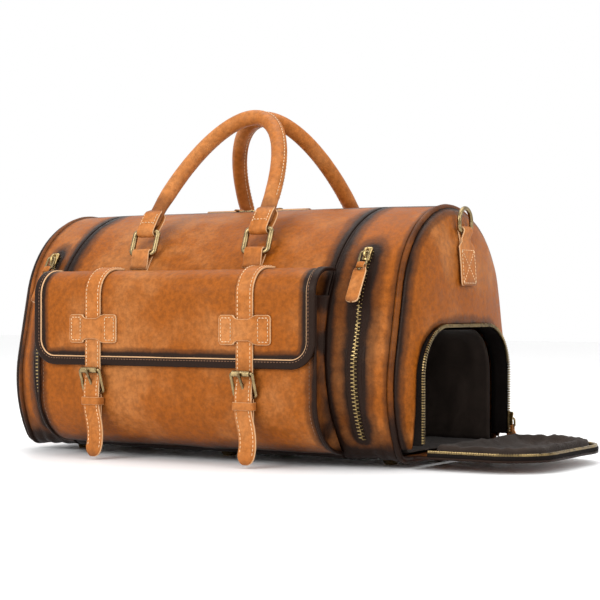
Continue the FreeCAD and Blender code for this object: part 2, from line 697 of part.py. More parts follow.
def bow_tie():
    """Stitched keeper, wide at both ends and narrow where it crosses the strap."""
    high, waist, half = 16.5, 12.5, 34.0
    bend_z = flap_pivot.z - FLAP_THICK / 2 - size("flap_round")
    mid = (size("flap_edge_height") + bend_z) / 2 + KEEPER_RISE
    outline_points = [(-half, high), (-10, waist), (10, waist), (half, high),
                      (half, -high), (10, -waist), (-10, -waist), (-half, -high)]
    wire = Part.makePolygon([V(x, front_y - strap_t - 3, mid + z)
                             for x, z in outline_points + outline_points[:1]])
    keeper = Part.Face(wire).extrude(V(0, strap_t + 3, 0))
    return keeper.cut(box((-strap_w / 2 - 0.3, strap_w / 2 + 0.3), (front_y - strap_t, front_y + 1),
                          (0, 400)))


def for_both(shape):
    placed = []
    for sign in (-1, 1):
        copy = shape.copy()
        copy.translate(V(sign * strap_x, 0, 0))
        placed.append(copy)
    return placed


def make_straps():
    bar = size("buckle_bar")
    keep("straps", Part.makeCompound(for_both(strap_shape())))
    keep("strap_keepers", Part.makeCompound(for_both(bow_tie())))

    half = size("buckle_width") / 2 - bar
    low, high = V(0, bar_y, bar_z), V(0, roller_y, roller_z)
    corners = [low - UP_X * half, low + UP_X * half, high + UP_X * half, high - UP_X * half]
    keep("buckle_frames", Part.makeCompound(for_both(rounded_loop(corners, bar + 0.6, bar))))

    chape_t = 1.2
    eye = Part.makeCylinder(bar + chape_t, strap_w, low - V(strap_w / 2, 0, 0), UP_X)
    tongue = box((-strap_w / 2, strap_w / 2), (bar_y - 1.2, bar_y + 1.2), (bar_z - 30, bar_z))
    chape = eye.fuse(tongue).cut(Part.makeCylinder(bar, strap_w + 2, low - V(strap_w / 2 + 1, 0, 0),
                                                   UP_X))
    chape = chape.cut(box((-3.2, 3.2), (bar_y - 8, bar_y + 8), (bar_z - 6, bar_z + 8)))
    keep("buckle_chapes", Part.makeCompound(for_both(chape)))

    tail_front = bar_y - bar - 1.5 - strap_t
    loop_low, loop_high = bar_z - 15, bar_z - 7
    outer = box((-strap_w / 2 - 2.5, strap_w / 2 + 2.5), (bar_y + 1.4 + LOOP_BACK, tail_front - 2.4),
                (loop_low, loop_high))
    inner = box((-strap_w / 2 - 0.5, strap_w / 2 + 0.5), (bar_y + 1.4, tail_front - 0.4),
                (loop_low - 1, loop_high + 1))
    keep("strap_loops", Part.makeCompound(for_both(outer.cut(inner))))

    snap_z = bar_z - 23
    cap = Part.makeCylinder(6.0, 1.2, V(0, bar_y + 1.2, snap_z), UP_Y)
    keep("snap_caps", Part.makeCompound(for_both(cap)))
    sockets = []
    for sign in (-1, 1):
        socket = doc.addObject("Part::Cylinder", "snap_socket")
        socket.Radius, socket.Height = 6.0, 0.8
        socket.Placement = FreeCAD.Placement(V(sign * strap_x, pocket_y, snap_z),
                                             FreeCAD.Rotation(UP_X, 90))
        sockets.append(socket)
    pair = doc.addObject("Part::MultiFuse", "snap_sockets")
    pair.Shapes = sockets
    keep_object("snap_sockets", pair)

    for side, sign in (("left", -1), ("right", 1)):
        at = V(sign * strap_x, roller_y, roller_z)
        length = size("buckle_width") - 4 * bar - 1.6
        outer_tube = doc.addObject("Part::Cylinder", f"roller_outer_{side}")
        outer_tube.setExpression("Radius", "Sizes.roller_radius")
        inner_tube = doc.addObject("Part::Cylinder", f"roller_bore_{side}")
        inner_tube.setExpression("Radius", "Sizes.buckle_bar + Sizes.turn_clearance")
        for tube, extra in ((outer_tube, 0), (inner_tube, 1)):
            tube.Height = length + 2 * extra
            tube.Placement = FreeCAD.Placement(at - V(length / 2 + extra, 0, 0),
                                               FreeCAD.Rotation(UP_Y, 90))
        roller = doc.addObject("Part::Cut", f"roller_{side}")
        roller.Base, roller.Tool = outer_tube, inner_tube
        keep_object(f"buckle_roller_{side}", roller)

        pin = bar + size("turn_clearance")
        foot = V(sign * strap_x, bar_y, bar_z)
        eye = along_x_tube(foot, 5.0, pin + 1.8, pin)
        tip = V(sign * strap_x, roller_y - size("roller_radius") - 3.2, roller_z + 1.0)
        reach = tip - foot
        start = foot + reach * ((pin + 0.9) / reach.Length)
        bar_piece = Part.makeCylinder(1.6, (tip - start).Length, start, reach)
        prong = eye.fuse([bar_piece, Part.makeSphere(1.6, tip)])
        prong = prong.cut(Part.makeCylinder(pin, 8, foot - V(4, 0, 0), UP_X))
        keep(f"buckle_prong_{side}", prong)


# ---------------------------------------------------------------- D-rings at the ends
d_pivot_z = top_z - 28


def dome_x_at(z):
    """How far out the end bulges at height z, on the bag's middle plane."""
    middle = (base_z + top_z) / 2
    reach = (z - middle) / (top_z - 1 - middle)
    for (x_a, s_a), (x_b, s_b) in zip(DOME_STEPS, DOME_STEPS[1:]):
        if s_b <= reach <= s_a:
            return dome_x + x_a + (x_b - x_a) * (s_a - reach) / (s_a - s_b)
    return dome_face_x


d_pivot = V(dome_x_at(d_pivot_z) + 6.5, 0, d_pivot_z)


def make_d_rings():
    bar, play = size("d_ring_bar"), size("turn_clearance")
    low_z = d_pivot_z - 64
    middle = (base_z + top_z) / 2
    bends = [middle + shrink * (top_z - 1 - middle) for step, shrink in DOME_STEPS[:1:-1]]
    stations = [low_z] + bends + [d_pivot_z - 1]
    points = [V(dome_x_at(z) + TAB_CLEAR, 0, z) for z in stations]
    path = Part.Wire([Part.makeLine(a, b) for a, b in zip(points, points[1:])])
    face = path.makeOffset2D(4.0, 2, True, True)
    if face.BoundBox.XMin < points[-1].x - 1:
        face = path.makeOffset2D(-4.0, 2, True, True)
    tab = face.extrude(V(0, 38, 0))
    tab.translate(V(0, -19, 0))
    neck = box((dome_x, dome_x + 60), (-11, 11), (d_pivot_z - 16, d_pivot_z + 20))
    wide = box((dome_x, dome_x + 60), (-30, 30), (0, d_pivot_z - 16))
    loop = Part.makeCylinder(bar + 3.0, 22, d_pivot - V(0, 11, 0), UP_Y)
    tab = tab.common(wide.fuse(neck)).fuse(loop)
    tab = tab.cut(Part.makeCylinder(bar + play, 30, d_pivot - V(0, 15, 0), UP_Y)).cut(dome(0.1))
    keep("d_ring_tabs", both_ends(tab))

    half = size("d_ring_width") / 2 - bar
    rise = size("d_ring_rise")
    left_low, right_low = d_pivot - UP_Y * half, d_pivot + UP_Y * half
    bow_z = rise - half
    bend = 3.5
    left_up, right_up = left_low + UP_Z * bow_z, right_low + UP_Z * bow_z
    dip = bend * (1 - math.sqrt(0.5))
    edges = [Part.makeLine(left_low + UP_Y * bend, right_low - UP_Y * bend),
             Part.Arc(right_low - UP_Y * bend, right_low + V(0, -dip, dip),
                      right_low + UP_Z * bend).toShape(),
             Part.makeLine(right_low + UP_Z * bend, right_up),
             Part.Arc(right_up, d_pivot + UP_Z * rise, left_up).toShape(),
             Part.makeLine(left_up, left_low + UP_Z * bend),
             Part.Arc(left_low + UP_Z * bend, left_low + V(0, dip, dip),
                      left_low + UP_Y * bend).toShape()]
    profile = Part.Wire([Part.makeCircle(bar, left_low + UP_Y * bend, UP_Y)])
    ring = Part.Wire(edges).makePipeShell([profile], True, True)
    keep("d_ring_right", ring)
    keep("d_ring_left", flip_x(ring))


# ---------------------------------------------------------------- shoe compartment
rim_x = end_x + 24
RIM_TEETH = 2.5
LEG_FOOT = base_z + 16
flap_hinge = V(rim_x + 1, 0, 24)
closed_x = rim_x + RIM_TEETH + 0.5


def lay_open(shape):
    """Turn a piece of the shoe flap from its closed place to where it lies open."""
    return shape.rotate(flap_hinge, UP_Y, 90)


def make_shoe_zip():
    keep("shoe_zip_tape", arch_band(dome_x - 0.5, rim_x, 0, 1.5, LEG_FOOT))
    keep("shoe_zip_teeth", arch_band(rim_x, rim_x + RIM_TEETH, -1.0, 2.5, LEG_FOOT))


def make_shoe_flap():
    """Built closed over the opening, then laid open on the hinge at its foot."""
    foot = 29.0
    teeth = arch_band(closed_x, closed_x + 3, -1.0, 2.5, foot)
    keep("shoe_flap_teeth", lay_open(teeth))
    lip_x, skin_x = closed_x + 3, closed_x + 7
    skin = arch_block(skin_x, skin_x + wall, 2.5).cut(box((0, 500), (-300, 300), (-20, base_z + 2)))
    lip = arch_band(lip_x, skin_x, -0.5, 2.5, foot)
    keep("shoe_flap_panel", lay_open(skin.fuse(lip)))
    liner_out, liner_in = -8.0, -9.2
    liner = arch_block(closed_x - 16, skin_x, liner_out)
    liner = liner.cut(arch_block(closed_x - 17, skin_x - 1.2, liner_in))
    liner = liner.cut(box((0, 500), (-300, 300), (-20, foot + 6)))
    keep("shoe_flap_lining", lay_open(liner))


SHOE_SLIDER_Z = base_z + 34


def make_shoe_slider():
    """Slider on the rear leg of the opening: a plate beside the teeth with a bridge outside."""
    edge = size("shoe_half") + 2.5 + 0.3
    plate = box((rim_x - 5, rim_x + 7), (edge, edge + 2.4), (SHOE_SLIDER_Z - 8, SHOE_SLIDER_Z + 8))
    bridge = box((rim_x - 0.6, rim_x + 2.6), (edge + 2.4, edge + 8), (SHOE_SLIDER_Z - 5, SHOE_SLIDER_Z + 5))
    hole = Part.makeCylinder(1.9, 10, V(rim_x - 4, edge + 5.2, SHOE_SLIDER_Z), UP_X)
    keep("shoe_slider", plate.fuse(bridge).cut(hole))
    pivot = V(rim_x + 1, edge + 5.2, SHOE_SLIDER_Z)
    down = V(0, 0.1, -1).normalize()
    keep("shoe_pull_link", link(pivot, UP_X, down, SHORT_LINK))
    out = down.cross(UP_X) * -1
    place = pull_frame(pivot + down * (SHORT_LINK + LINK_BAR + 0.1) - out * 1.5, down, out)
    pull_tab("shoe_pull_tab", "shoe_tab", place, SHORT_TAB)


make_body()
make_trim()
make_inside()
make_feet()
keep_group("zip_teeth", [make_top_zip(), make_side_zips()])
make_top_sliders()
make_side_sliders()
make_handles()
make_rings()
make_handle_tabs()
make_pocket()
make_flap()
make_straps()
make_d_rings()
make_shoe_zip()
make_shoe_flap()
make_shoe_slider()
doc.recompute()

# ---------------------------------------------------------------- origin, checks and export
bounds = FreeCAD.BoundBox()
for feature in parts.values():
    bounds.add(feature.Shape.optimalBoundingBox(False))
shift = FreeCAD.Placement(V(-bounds.Center.x, -bounds.Center.y, -bounds.ZMin), FreeCAD.Rotation())
for label, feature in parts.items():
    feature.Placement = shift.multiply(feature.Placement)
doc.recompute()

for feature in doc.Objects:
    if "Invalid" in feature.State or "Error" in feature.State:
        raise RuntimeError(f"{feature.Label} did not compute: {feature.State}")
for label, feature in parts.items():
    if feature.Shape.isNull() or not feature.Shape.isValid():
        raise RuntimeError(f"{label} is not a valid shape")

os.makedirs("parts", exist_ok=True)
for label, feature in parts.items():
    feature.Shape.exportStep(f"parts/{label}.step")
print(len(parts), "sub-parts, shift", shift.Base, "box", bounds)
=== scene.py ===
import bpy
import json
import math
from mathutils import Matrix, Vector, noise


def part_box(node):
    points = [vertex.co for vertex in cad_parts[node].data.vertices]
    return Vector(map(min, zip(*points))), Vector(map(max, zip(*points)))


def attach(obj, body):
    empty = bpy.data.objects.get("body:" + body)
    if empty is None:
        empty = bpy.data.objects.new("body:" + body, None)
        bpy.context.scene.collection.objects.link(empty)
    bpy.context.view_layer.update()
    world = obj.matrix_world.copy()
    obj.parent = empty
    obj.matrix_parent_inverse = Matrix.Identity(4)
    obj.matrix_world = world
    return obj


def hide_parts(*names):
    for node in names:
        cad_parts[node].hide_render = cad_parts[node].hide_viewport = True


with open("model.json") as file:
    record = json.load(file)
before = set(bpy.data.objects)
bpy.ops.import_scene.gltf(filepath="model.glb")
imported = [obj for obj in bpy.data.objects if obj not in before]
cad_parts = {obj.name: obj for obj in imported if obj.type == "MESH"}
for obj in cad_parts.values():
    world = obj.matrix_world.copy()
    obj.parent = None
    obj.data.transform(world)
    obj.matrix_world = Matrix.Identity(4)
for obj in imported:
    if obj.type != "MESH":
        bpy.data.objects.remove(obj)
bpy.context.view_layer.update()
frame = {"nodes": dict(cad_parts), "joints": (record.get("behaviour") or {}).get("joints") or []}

# ------------------------------------------------------------------ centre panels
# Two sheets of vegetable-tanned cow leather, front and back, that make the straight middle of the
# barrel. They are sewn to the base below, turned under along the top zip, and darkened by hand
# with a burnishing rag along every seam.
front_low, front_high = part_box("front_panel")
rear_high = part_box("rear_panel")[1]
middle = Vector(((front_low.x + front_high.x) / 2, (front_low.y + rear_high.y) / 2, 0))
SEAM_X, END_X = 190.0, 260.0
BASE_Z, TOP_Z = 10.0, 292.0
MIDDLE_CUT = (161.0, 161.0, 124.0, 131.0)
END_CUT = (138.0, 120.0, 88.0, 171.0)
CORNER = 18.0
STATIONS = (0.0, 0.20, 0.27, 0.56, 0.64, 1.0)
ALONG, FORWARD, UPWARD = Vector((1, 0, 0)), Vector((0, -1, 0)), Vector((0, 0, 1))
SEAM_TURN, SEAM_RUB, ZIP_RUB, BASE_RUB = 1.4, 26.0, 15.0, 24.0


def cut_point(cut, t, grow=0.0):
    """Point (y, z) on a cross cut of the bag, from the middle of the base (t 0) to the top (t 1)."""
    low_r, up_r, low_z, up_z = cut
    low_r, up_r, floor, corner = low_r + grow, up_r + grow, BASE_Z - grow, CORNER + grow
    lean = math.asin((low_r - up_r) / (up_z - low_z))
    rise = low_z - floor - corner
    corner_y = math.sqrt((low_r - corner) ** 2 - rise ** 2)
    start = math.atan2(floor + corner - low_z, corner_y)
    leg = max(i for i in range(5) if t >= STATIONS[i])
    part = (t - STATIONS[leg]) / (STATIONS[leg + 1] - STATIONS[leg])
    if leg == 0:
        return corner_y * part, floor
    if leg == 1:
        turn = -math.pi / 2 + (start + math.pi / 2) * part
        return corner_y + corner * math.cos(turn), floor + corner + corner * math.sin(turn)
    if leg == 2:
        turn = start + (lean - start) * part
        return low_r * math.cos(turn), low_z + low_r * math.sin(turn)
    if leg == 3:
        y0, z0 = low_r * math.cos(lean), low_z + low_r * math.sin(lean)
        y1, z1 = up_r * math.cos(lean), up_z + up_r * math.sin(lean)
        return y0 + (y1 - y0) * part, z0 + (z1 - z0) * part
    turn = lean + (math.pi / 2 - lean) * part
    return up_r * math.cos(turn), up_z + up_r * math.sin(turn)


def wall_point(x, t, side, grow=0.0):
    """Point of the leather at x along the bag; side is -1 at the front and 1 at the back."""
    share = max(0.0, (abs(x) - SEAM_X) / (END_X - SEAM_X))
    y0, z0 = cut_point(MIDDLE_CUT, t, grow)
    y1, z1 = cut_point(END_CUT, t, grow)
    return Vector((x, side * (y0 + (y1 - y0) * share), z0 + (z1 - z0) * share))


def wall_turn(x, z, side):
    """Station of the leather at x and height z, found by halving."""
    low, high = STATIONS[1], 1.0
    for _ in range(24):
        half = (low + high) / 2
        if wall_point(x, half, side).z < z:
            low = half
        else:
            high = half
    return (low + high) / 2


def wall_height(x, z, side, grow=0.0):
    """Point of the leather at x and about height z, lifted off it by grow."""
    return wall_point(x, wall_turn(x, z, side), side, grow)


def spread(start, end, count):
    """Evenly spaced values from start to end."""
    return [start + (end - start) * i / (count - 1) for i in range(count)]


def slack(point, size):
    """Soft unevenness of hand-stretched leather, in millimetres."""
    broad = noise.noise(point / 70.0)
    fine = noise.noise(point / 26.0 + Vector((7, 3, 1)))
    return size * (0.8 * broad + 0.35 * fine)


def make_mesh(name, points, faces, marks=None, smooth=True):
    """Object from points in millimetres about the bag's middle; marks are named point values."""
    mesh = bpy.data.meshes.new(name)
    mesh.from_pydata([middle + Vector(p) / 1000 for p in points], [], faces)
    for mark, values in (marks or {}).items():
        layer = mesh.attributes.new(mark, "FLOAT", "POINT")
        layer.data.foreach_set("value", values)
    if smooth:
        mesh.polygons.foreach_set("use_smooth", [True] * len(mesh.polygons))
    mesh.update()
    piece = bpy.data.objects.new(name, mesh)
    bpy.context.scene.collection.objects.link(piece)
    return piece


def sheet_faces(rows, columns, wrap=False):
    """Four-sided faces over a grid of points stored row after row."""
    last = columns if wrap else columns - 1
    return [(r * columns + c, r * columns + (c + 1) % columns,
             (r + 1) * columns + (c + 1) % columns, (r + 1) * columns + c)
            for r in range(rows - 1) for c in range(last)]


def leather_sheet(name, grid, burnish_and_shade, thickness=2.4, wrap=False, flip=False, cut=None):
    """One sheet of leather from a grid of points, with its darkening and its cut thickness."""
    rows, columns = len(grid), len(grid[0])
    faces = sheet_faces(rows, columns, wrap)
    if flip:
        faces = [tuple(reversed(face)) for face in faces]
    points = [p for row in grid for p in row]
    marks = {"burnish_and_shade": [b for row in burnish_and_shade for b in row]}
    if cut:
        marks["cut_edge"] = [c for row in cut for c in row]
    piece = make_mesh(name, points, faces, marks)
    solid = piece.modifiers.new("cut_thickness", "SOLIDIFY")
    solid.thickness = thickness / 1000
    solid.offset = -1.0
    return piece


def dark_edge(distance, reach):
    """How dark the leather is at a distance from a seam or edge, from 1 to 0; it draws the rag's burnish and
    also some painted shade.
    """
    return max(0.0, 1.0 - max(distance, 0.0) / reach) ** 1.4


def shader_parts(name):
    """A new material with its shader, and a short way to add and join nodes."""
    material = bpy.data.materials.new(name)
    material.use_nodes = True
    tree = material.node_tree
    shader = tree.nodes["Principled BSDF"]

    def add(kind, **settings):
        node = tree.nodes.new(kind)
        for key, value in settings.items():
            if key in node.inputs.keys():
                node.inputs[key].default_value = value
            else:
                setattr(node, key, value)
        return node

    return material, shader, add, tree.links.new


def mix_colours(add, join, share, one, two, blend="MIX"):
    """Mix node for colours; one, two and share are sockets or plain values."""
    node = add("ShaderNodeMix", data_type="RGBA", blend_type=blend)
    for socket, value in ((node.inputs["Factor"], share), (node.inputs[6], one), (node.inputs[7], two)):
        if isinstance(value, bpy.types.NodeSocket):
            join(value, socket)
        else:
            socket.default_value = value
    return node.outputs[2]


def ramp(add, join, source, stops):
    """Smooth map of a value through (place, level) stops."""
    node = add("ShaderNodeValToRGB")
    node.color_ramp.interpolation = "EASE"
    band = node.color_ramp.elements
    while len(band) < len(stops):
        band.new(0.5)
    for element, (place, level) in zip(band, stops):
        element.position = place
        element.color = (level, level, level, 1)
    join(source, node.inputs["Fac"])
    return node.outputs["Color"]


RAW_EDGE = (0.60, 0.36, 0.19)


def leather_finish(name, tan, pale, dark, rough=0.42, grain=0.75):
    """Hand-burnished leather: drifting colour, rubbed patches, dark edges, pebble grain."""
    material, shader, add, join = shader_parts(name)
    place = add("ShaderNodeTexCoord").outputs["Object"]
    drift = add("ShaderNodeTexNoise", Scale=11.0, Detail=5.0, Roughness=0.62)
    join(place, drift.inputs["Vector"])
    patches = ramp(add, join, drift.outputs["Fac"], [(0.42, 0.0), (0.72, 1.0)])
    fine = add("ShaderNodeTexNoise", Scale=160.0, Detail=4.0, Roughness=0.7)
    join(place, fine.inputs["Vector"])
    colour = mix_colours(add, join, patches, (*tan, 1), (*pale, 1))
    speck = ramp(add, join, fine.outputs["Fac"], [(0.30, 0.74), (0.70, 1.14)])
    colour = mix_colours(add, join, 1.0, colour, speck, "MULTIPLY")
    # The attribute read here holds the rag's burnish and, on some pieces, painted shade.
    rubbed_and_shaded = add("ShaderNodeAttribute", attribute_name="burnish_and_shade")
    breakup = add("ShaderNodeTexNoise", Scale=34.0, Detail=6.0, Roughness=0.65)
    join(place, breakup.inputs["Vector"])
    edge = add("ShaderNodeMath", operation="MULTIPLY_ADD")
    join(breakup.outputs["Fac"], edge.inputs[0])
    edge.inputs[1].default_value = 0.55
    join(rubbed_and_shaded.outputs["Fac"], edge.inputs[2])
    shade = ramp(add, join, edge.outputs[0], [(0.36, 0.0), (0.62, 0.55), (1.0, 1.0)])
    colour = mix_colours(add, join, shade, colour, (*dark, 1))
    cut = add("ShaderNodeAttribute", attribute_name="cut_edge")
    raw = ramp(add, join, cut.outputs["Fac"], [(0.35, 0.0), (0.75, 1.0)])
    colour = mix_colours(add, join, raw, colour, (*RAW_EDGE, 1))
    join(colour, shader.inputs["Base Color"])
    pebbles = add("ShaderNodeTexVoronoi", Scale=620.0, feature="SMOOTH_F1")
    join(place, pebbles.inputs["Vector"])
    creases = add("ShaderNodeTexNoise", Scale=75.0, Detail=7.0, Roughness=0.7, Distortion=0.6)
    join(place, creases.inputs["Vector"])
    height = add("ShaderNodeMath", operation="MULTIPLY_ADD")
    join(pebbles.outputs["Distance"], height.inputs[0])
    height.inputs[1].default_value = 0.35
    join(creases.outputs["Fac"], height.inputs[2])
    bump = add("ShaderNodeBump", Strength=grain, Distance=0.0008)
    join(height.outputs[0], bump.inputs["Height"])
    join(bump.outputs["Normal"], shader.inputs["Normal"])
    gloss = ramp(add, join, fine.outputs["Fac"], [(0.25, rough - 0.07), (0.75, rough + 0.12)])
    join(gloss, shader.inputs["Roughness"])
    shader.inputs["Specular IOR Level"].default_value = 0.13
    shader.inputs["Specular Tint"].default_value = (1.0, 0.86, 0.72, 1)
    return material


BODY_LEATHER = leather_finish("burnished_tan", (0.245, 0.064, 0.005), (0.34, 0.122, 0.032),
                              (0.011, 0.0045, 0.003))
ZIP_GAP, ZIP_LEVEL = 13.0, 200.0


def finish_piece(piece, body, material, slot, *nodes):
    """Give a piece its material, its body and the plain solids it stands for; its slot is not used."""
    piece.data.materials.clear()
    piece.data.materials.append(material)
    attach(piece, body)
    if nodes:
        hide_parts(*nodes)
    return piece


def seam_stations():
    """Values of t from the edge of the base to the zip, closer at the corner."""
    low = [STATIONS[1] + (STATIONS[2] - STATIONS[1]) * i / 6 for i in range(6)]
    top = 1.0 - ZIP_GAP / 161.0 / (math.pi / 2) * (1 - STATIONS[4])
    return [STATIONS[1] * 0.985] + low + spread(STATIONS[2], top, 74)


def end_word(end):
    return "left" if end < 0 else "right"


def face_word(side):
    return "front" if side < 0 else "rear"


def centre_panel(side):
    """Front (-1) or rear (1) sheet between the two upright seams."""
    grid, burnish_and_shade = [], []
    for t in seam_stations():
        row, shades = [], []
        for x in spread(-SEAM_X + SEAM_TURN, SEAM_X - SEAM_TURN, 96):
            point = wall_point(x, t, side)
            out = (point - wall_point(x, t, side, -1.0)).normalized()
            hold = min(1.0, (SEAM_X - abs(x)) / 30) * min(1.0, max(0.0, abs(point.y) - ZIP_GAP) / 20)
            row.append(point + out * (slack(point, 1.6) - 0.6) * hold)
            seam = dark_edge(SEAM_X - abs(x), SEAM_RUB)
            zip_side = 0.9 * dark_edge(abs(point.y) - ZIP_GAP, ZIP_RUB) if point.z > ZIP_LEVEL else 0.0
            base = 0.9 * dark_edge(point.z - BASE_Z - 2, BASE_RUB)
            shades.append(max(seam, zip_side, base))
        grid.append(row)
        burnish_and_shade.append(shades)
    piece = leather_sheet(f"{face_word(side)}_centre_leather", grid, burnish_and_shade, flip=side < 0)
    finish_piece(piece, "bag", BODY_LEATHER, "body_leather", f"{face_word(side)}_panel")


centre_panel(-1)
centre_panel(1)

# ------------------------------------------------------------------ end bands
# A narrower sheet of the same leather at each end, cut on a curve so the barrel narrows towards
# the end panel. The seams are rubbed nearly black and the leather creases near the base.


END_TURN, BAND_RUB, CREASE_HIGH = 3.6, 46.0, 80.0


def band(end):
    """Front and rear halves of one end band; the front one is rubbed dark round its zip."""
    for side in (-1, 1):
        grid, burnish_and_shade = [], []
        for t in seam_stations():
            row, shades = [], []
            for x in spread(SEAM_X + SEAM_TURN, END_X - END_TURN, 26):
                point = wall_point(end * x, t, side)
                out = (point - wall_point(end * x, t, side, -1.0)).normalized()
                hold = min(1.0, (x - SEAM_X) / 16, (END_X - x) / 16)
                hold *= min(1.0, max(0.0, abs(point.y) - ZIP_GAP) / 20)
                near_base = dark_edge(point.z - BASE_Z - 4, CREASE_HIGH)
                crease = 2.2 * near_base * noise.noise(Vector((point.x / 11, point.z / 24, side)))
                row.append(point + out * (slack(point, 1.8) + crease - 0.5) * hold)
                seam = max(dark_edge(x - SEAM_X, 22), 0.8 * dark_edge(END_X - x, 14))
                zip_side = 0.9 * dark_edge(abs(point.y) - ZIP_GAP, ZIP_RUB) if point.z > ZIP_LEVEL else 0.0
                base = dark_edge(point.z - BASE_Z - 2, BAND_RUB)
                beyond = point.z - min(max(point.z, SIDE_ZIP_LOW + 8), SIDE_ZIP_HIGH - 8)
                pocket = 0.78 * dark_edge(math.hypot(x - SIDE_ZIP_X, beyond) - 8, 21) if side < 0 else 0.0
                shades.append(max(seam, zip_side, base, pocket))
            grid.append(row)
            burnish_and_shade.append(shades)
        piece = leather_sheet(f"{end_word(end)}_band_{face_word(side)}", grid, burnish_and_shade, flip=side * end < 0)
        finish_piece(piece, "bag", BODY_LEATHER, "body_leather", f"{end_word(end)}_band")


SIDE_ZIP_X, SIDE_ZIP_LOW, SIDE_ZIP_HIGH = 222.0, 29.0, 243.0
band(1)
band(-1)

# ------------------------------------------------------------------ base
# One flat sheet of thicker leather on a board, rubbed dark, with the feet riveted through it.
base_rows, base_shades = [], []
for x in spread(-END_X + 4, END_X - 4, 60):
    half = wall_point(x, STATIONS[1], 1).y
    base_rows.append([Vector((x, y, BASE_Z + 0.2 * noise.noise(Vector((x, y, 0)) / 40)))
                      for y in spread(-half, half, 30)])
    base_shades.append([0.35 + 0.6 * dark_edge(half - abs(y), 26) for y in spread(-half, half, 30)])
base = leather_sheet("base_leather", base_rows, base_shades, 2.8)
finish_piece(base, "bag", BODY_LEATHER, "body_leather", "base_panel")


# ------------------------------------------------------------------ end panels
# Softly bulged ends. The left one is whole; the right one is cut out in an arch for the shoes, its
# edge bound to the zip tape. Colour is rubbed darker round the rim, and painted shade darkens the
# lower part of each end.
DOME_X, DOME_RISE = END_X + END_TURN, 20.0
END_MIDDLE = (BASE_Z + TOP_Z) / 2
rim_polar = []
for i in range(721):
    t = i / 720
    y, z = cut_point(END_CUT, t)
    rim_polar.append((math.atan2(z - END_MIDDLE, y), math.hypot(y, z - END_MIDDLE)))


def rim_reach(turn):
    """Distance from the middle of the end to its rim in a direction of the y, z plane."""
    turn = math.atan2(math.sin(turn), abs(math.cos(turn)))
    for (a, ra), (b, rb) in zip(rim_polar, rim_polar[1:]):
        if a <= turn <= b:
            return ra + (rb - ra) * (turn - a) / max(b - a, 1e-9)
    return rim_polar[-1][1] if turn > 0 else rim_polar[0][1]


def dome_out(y, z):
    """How far the end panel stands out at y, z."""
    share = min(1.0, math.hypot(y, z - END_MIDDLE) / rim_reach(math.atan2(z - END_MIDDLE, y)))
    return DOME_X + DOME_RISE * (math.sqrt(max(0.0, 1 - share ** 2.4)) ** 0.9)


SHOE_HALF, SHOE_TOP, SHOE_ROUND, SHOE_FOOT = 108.0, 154.0, 55.0, 24.0


def arch_line(grow, foot=SHOE_FOOT, count=90):
    """Points (y, z) of the shoe opening from the rear foot over the top to the front foot."""
    half, top, bend = SHOE_HALF + grow, SHOE_TOP + grow, SHOE_ROUND + grow
    lengths = [top - bend - foot, bend * math.pi / 2, 2 * (half - bend), bend * math.pi / 2,
               top - bend - foot]
    line = []
    for i in range(count):
        s = sum(lengths) * i / (count - 1)
        leg = 0
        while leg < 4 and s > lengths[leg]:
            s -= lengths[leg]
            leg += 1
        if leg == 0:
            line.append((half, foot + s))
        elif leg == 1:
            line.append((half - bend + bend * math.cos(s / bend), top - bend + bend * math.sin(s / bend)))
        elif leg == 2:
            line.append((half - bend - s, top))
        elif leg == 3:
            line.append((bend - half - bend * math.sin(s / bend), top - bend + bend * math.cos(s / bend)))
        else:
            line.append((-half, top - bend - s))
    return line


def end_shade(y, z):
    """Darkening of an end panel: rag burnish round its rim, and painted shade down towards the base."""
    reach = rim_reach(math.atan2(z - END_MIDDLE, y))
    share = math.hypot(y, z - END_MIDDLE) / reach
    # The second term is painted shade, darker towards the floor.
    return 0.75 * dark_edge((1 - share) * reach, 15) + 0.3 * dark_edge(z - 12, 40)


left_grid, left_shades = [], []
for share in [1 - (i / 40) ** 1.5 * 0.995 for i in range(41)]:
    row, shades = [], []
    for i in range(120):
        side = 1 if i < 60 else -1
        y, z = cut_point(END_CUT, 1 - abs(1 - i / 60))
        y *= side
        y, z = y * share, END_MIDDLE + (z - END_MIDDLE) * share
        x = dome_out(y, z) + slack(Vector((9, y, z)), 1.4) * min(1.0, (1 - share) * 6)
        row.append(Vector((-x, y, z)))
        shades.append(end_shade(y, z))
    left_grid.append(row)
    left_shades.append(shades)
left_end = leather_sheet("left_end_leather", left_grid, left_shades, wrap=True)
finish_piece(left_end, "bag", BODY_LEATHER, "body_leather", "left_end_panel")

right_grid, right_shades = [], []
ARCH_COUNT = 130
inner = arch_line(2.0, SHOE_FOOT - 2, ARCH_COUNT)
foot_t = next(i / 2000 for i in range(400, 2000) if cut_point(END_CUT, i / 2000)[1] > SHOE_FOOT - 2)
for across in spread(0.0, 1.0, 30):
    row, shades = [], []
    for i, (inner_y, inner_z) in enumerate(inner):
        share = i / (ARCH_COUNT - 1)
        t = foot_t + (1 - foot_t) * (1 - abs(1 - 2 * share))
        outer_y, outer_z = cut_point(END_CUT, t)
        outer_y *= 1 if share <= 0.5 else -1
        y = inner_y + (outer_y - inner_y) * across
        z = inner_z + (outer_z - inner_z) * across
        soft = min(1.0, 5 * across, 5 * (1 - across))
        x = dome_out(y, z) + slack(Vector((3, y, z)), 1.6) * soft
        row.append(Vector((x, y, z)))
        shades.append(max(end_shade(y, z), 0.7 * dark_edge(across * 60, 9)))
    right_grid.append(row)
    right_shades.append(shades)
right_end = leather_sheet("right_end_leather", right_grid, right_shades, flip=True)
finish_piece(right_end, "bag", BODY_LEATHER, "body_leather", "right_end_panel")


# ------------------------------------------------------------------ seams of the body
# A rolled leather cord is sewn into each end seam, and a folded welt stands in each seam between
# the centre panels and the bands. Both are nearly black where the rag passed over them; the end
# cords also carry painted shade, darker towards the floor.


CORD_SIDES = 14


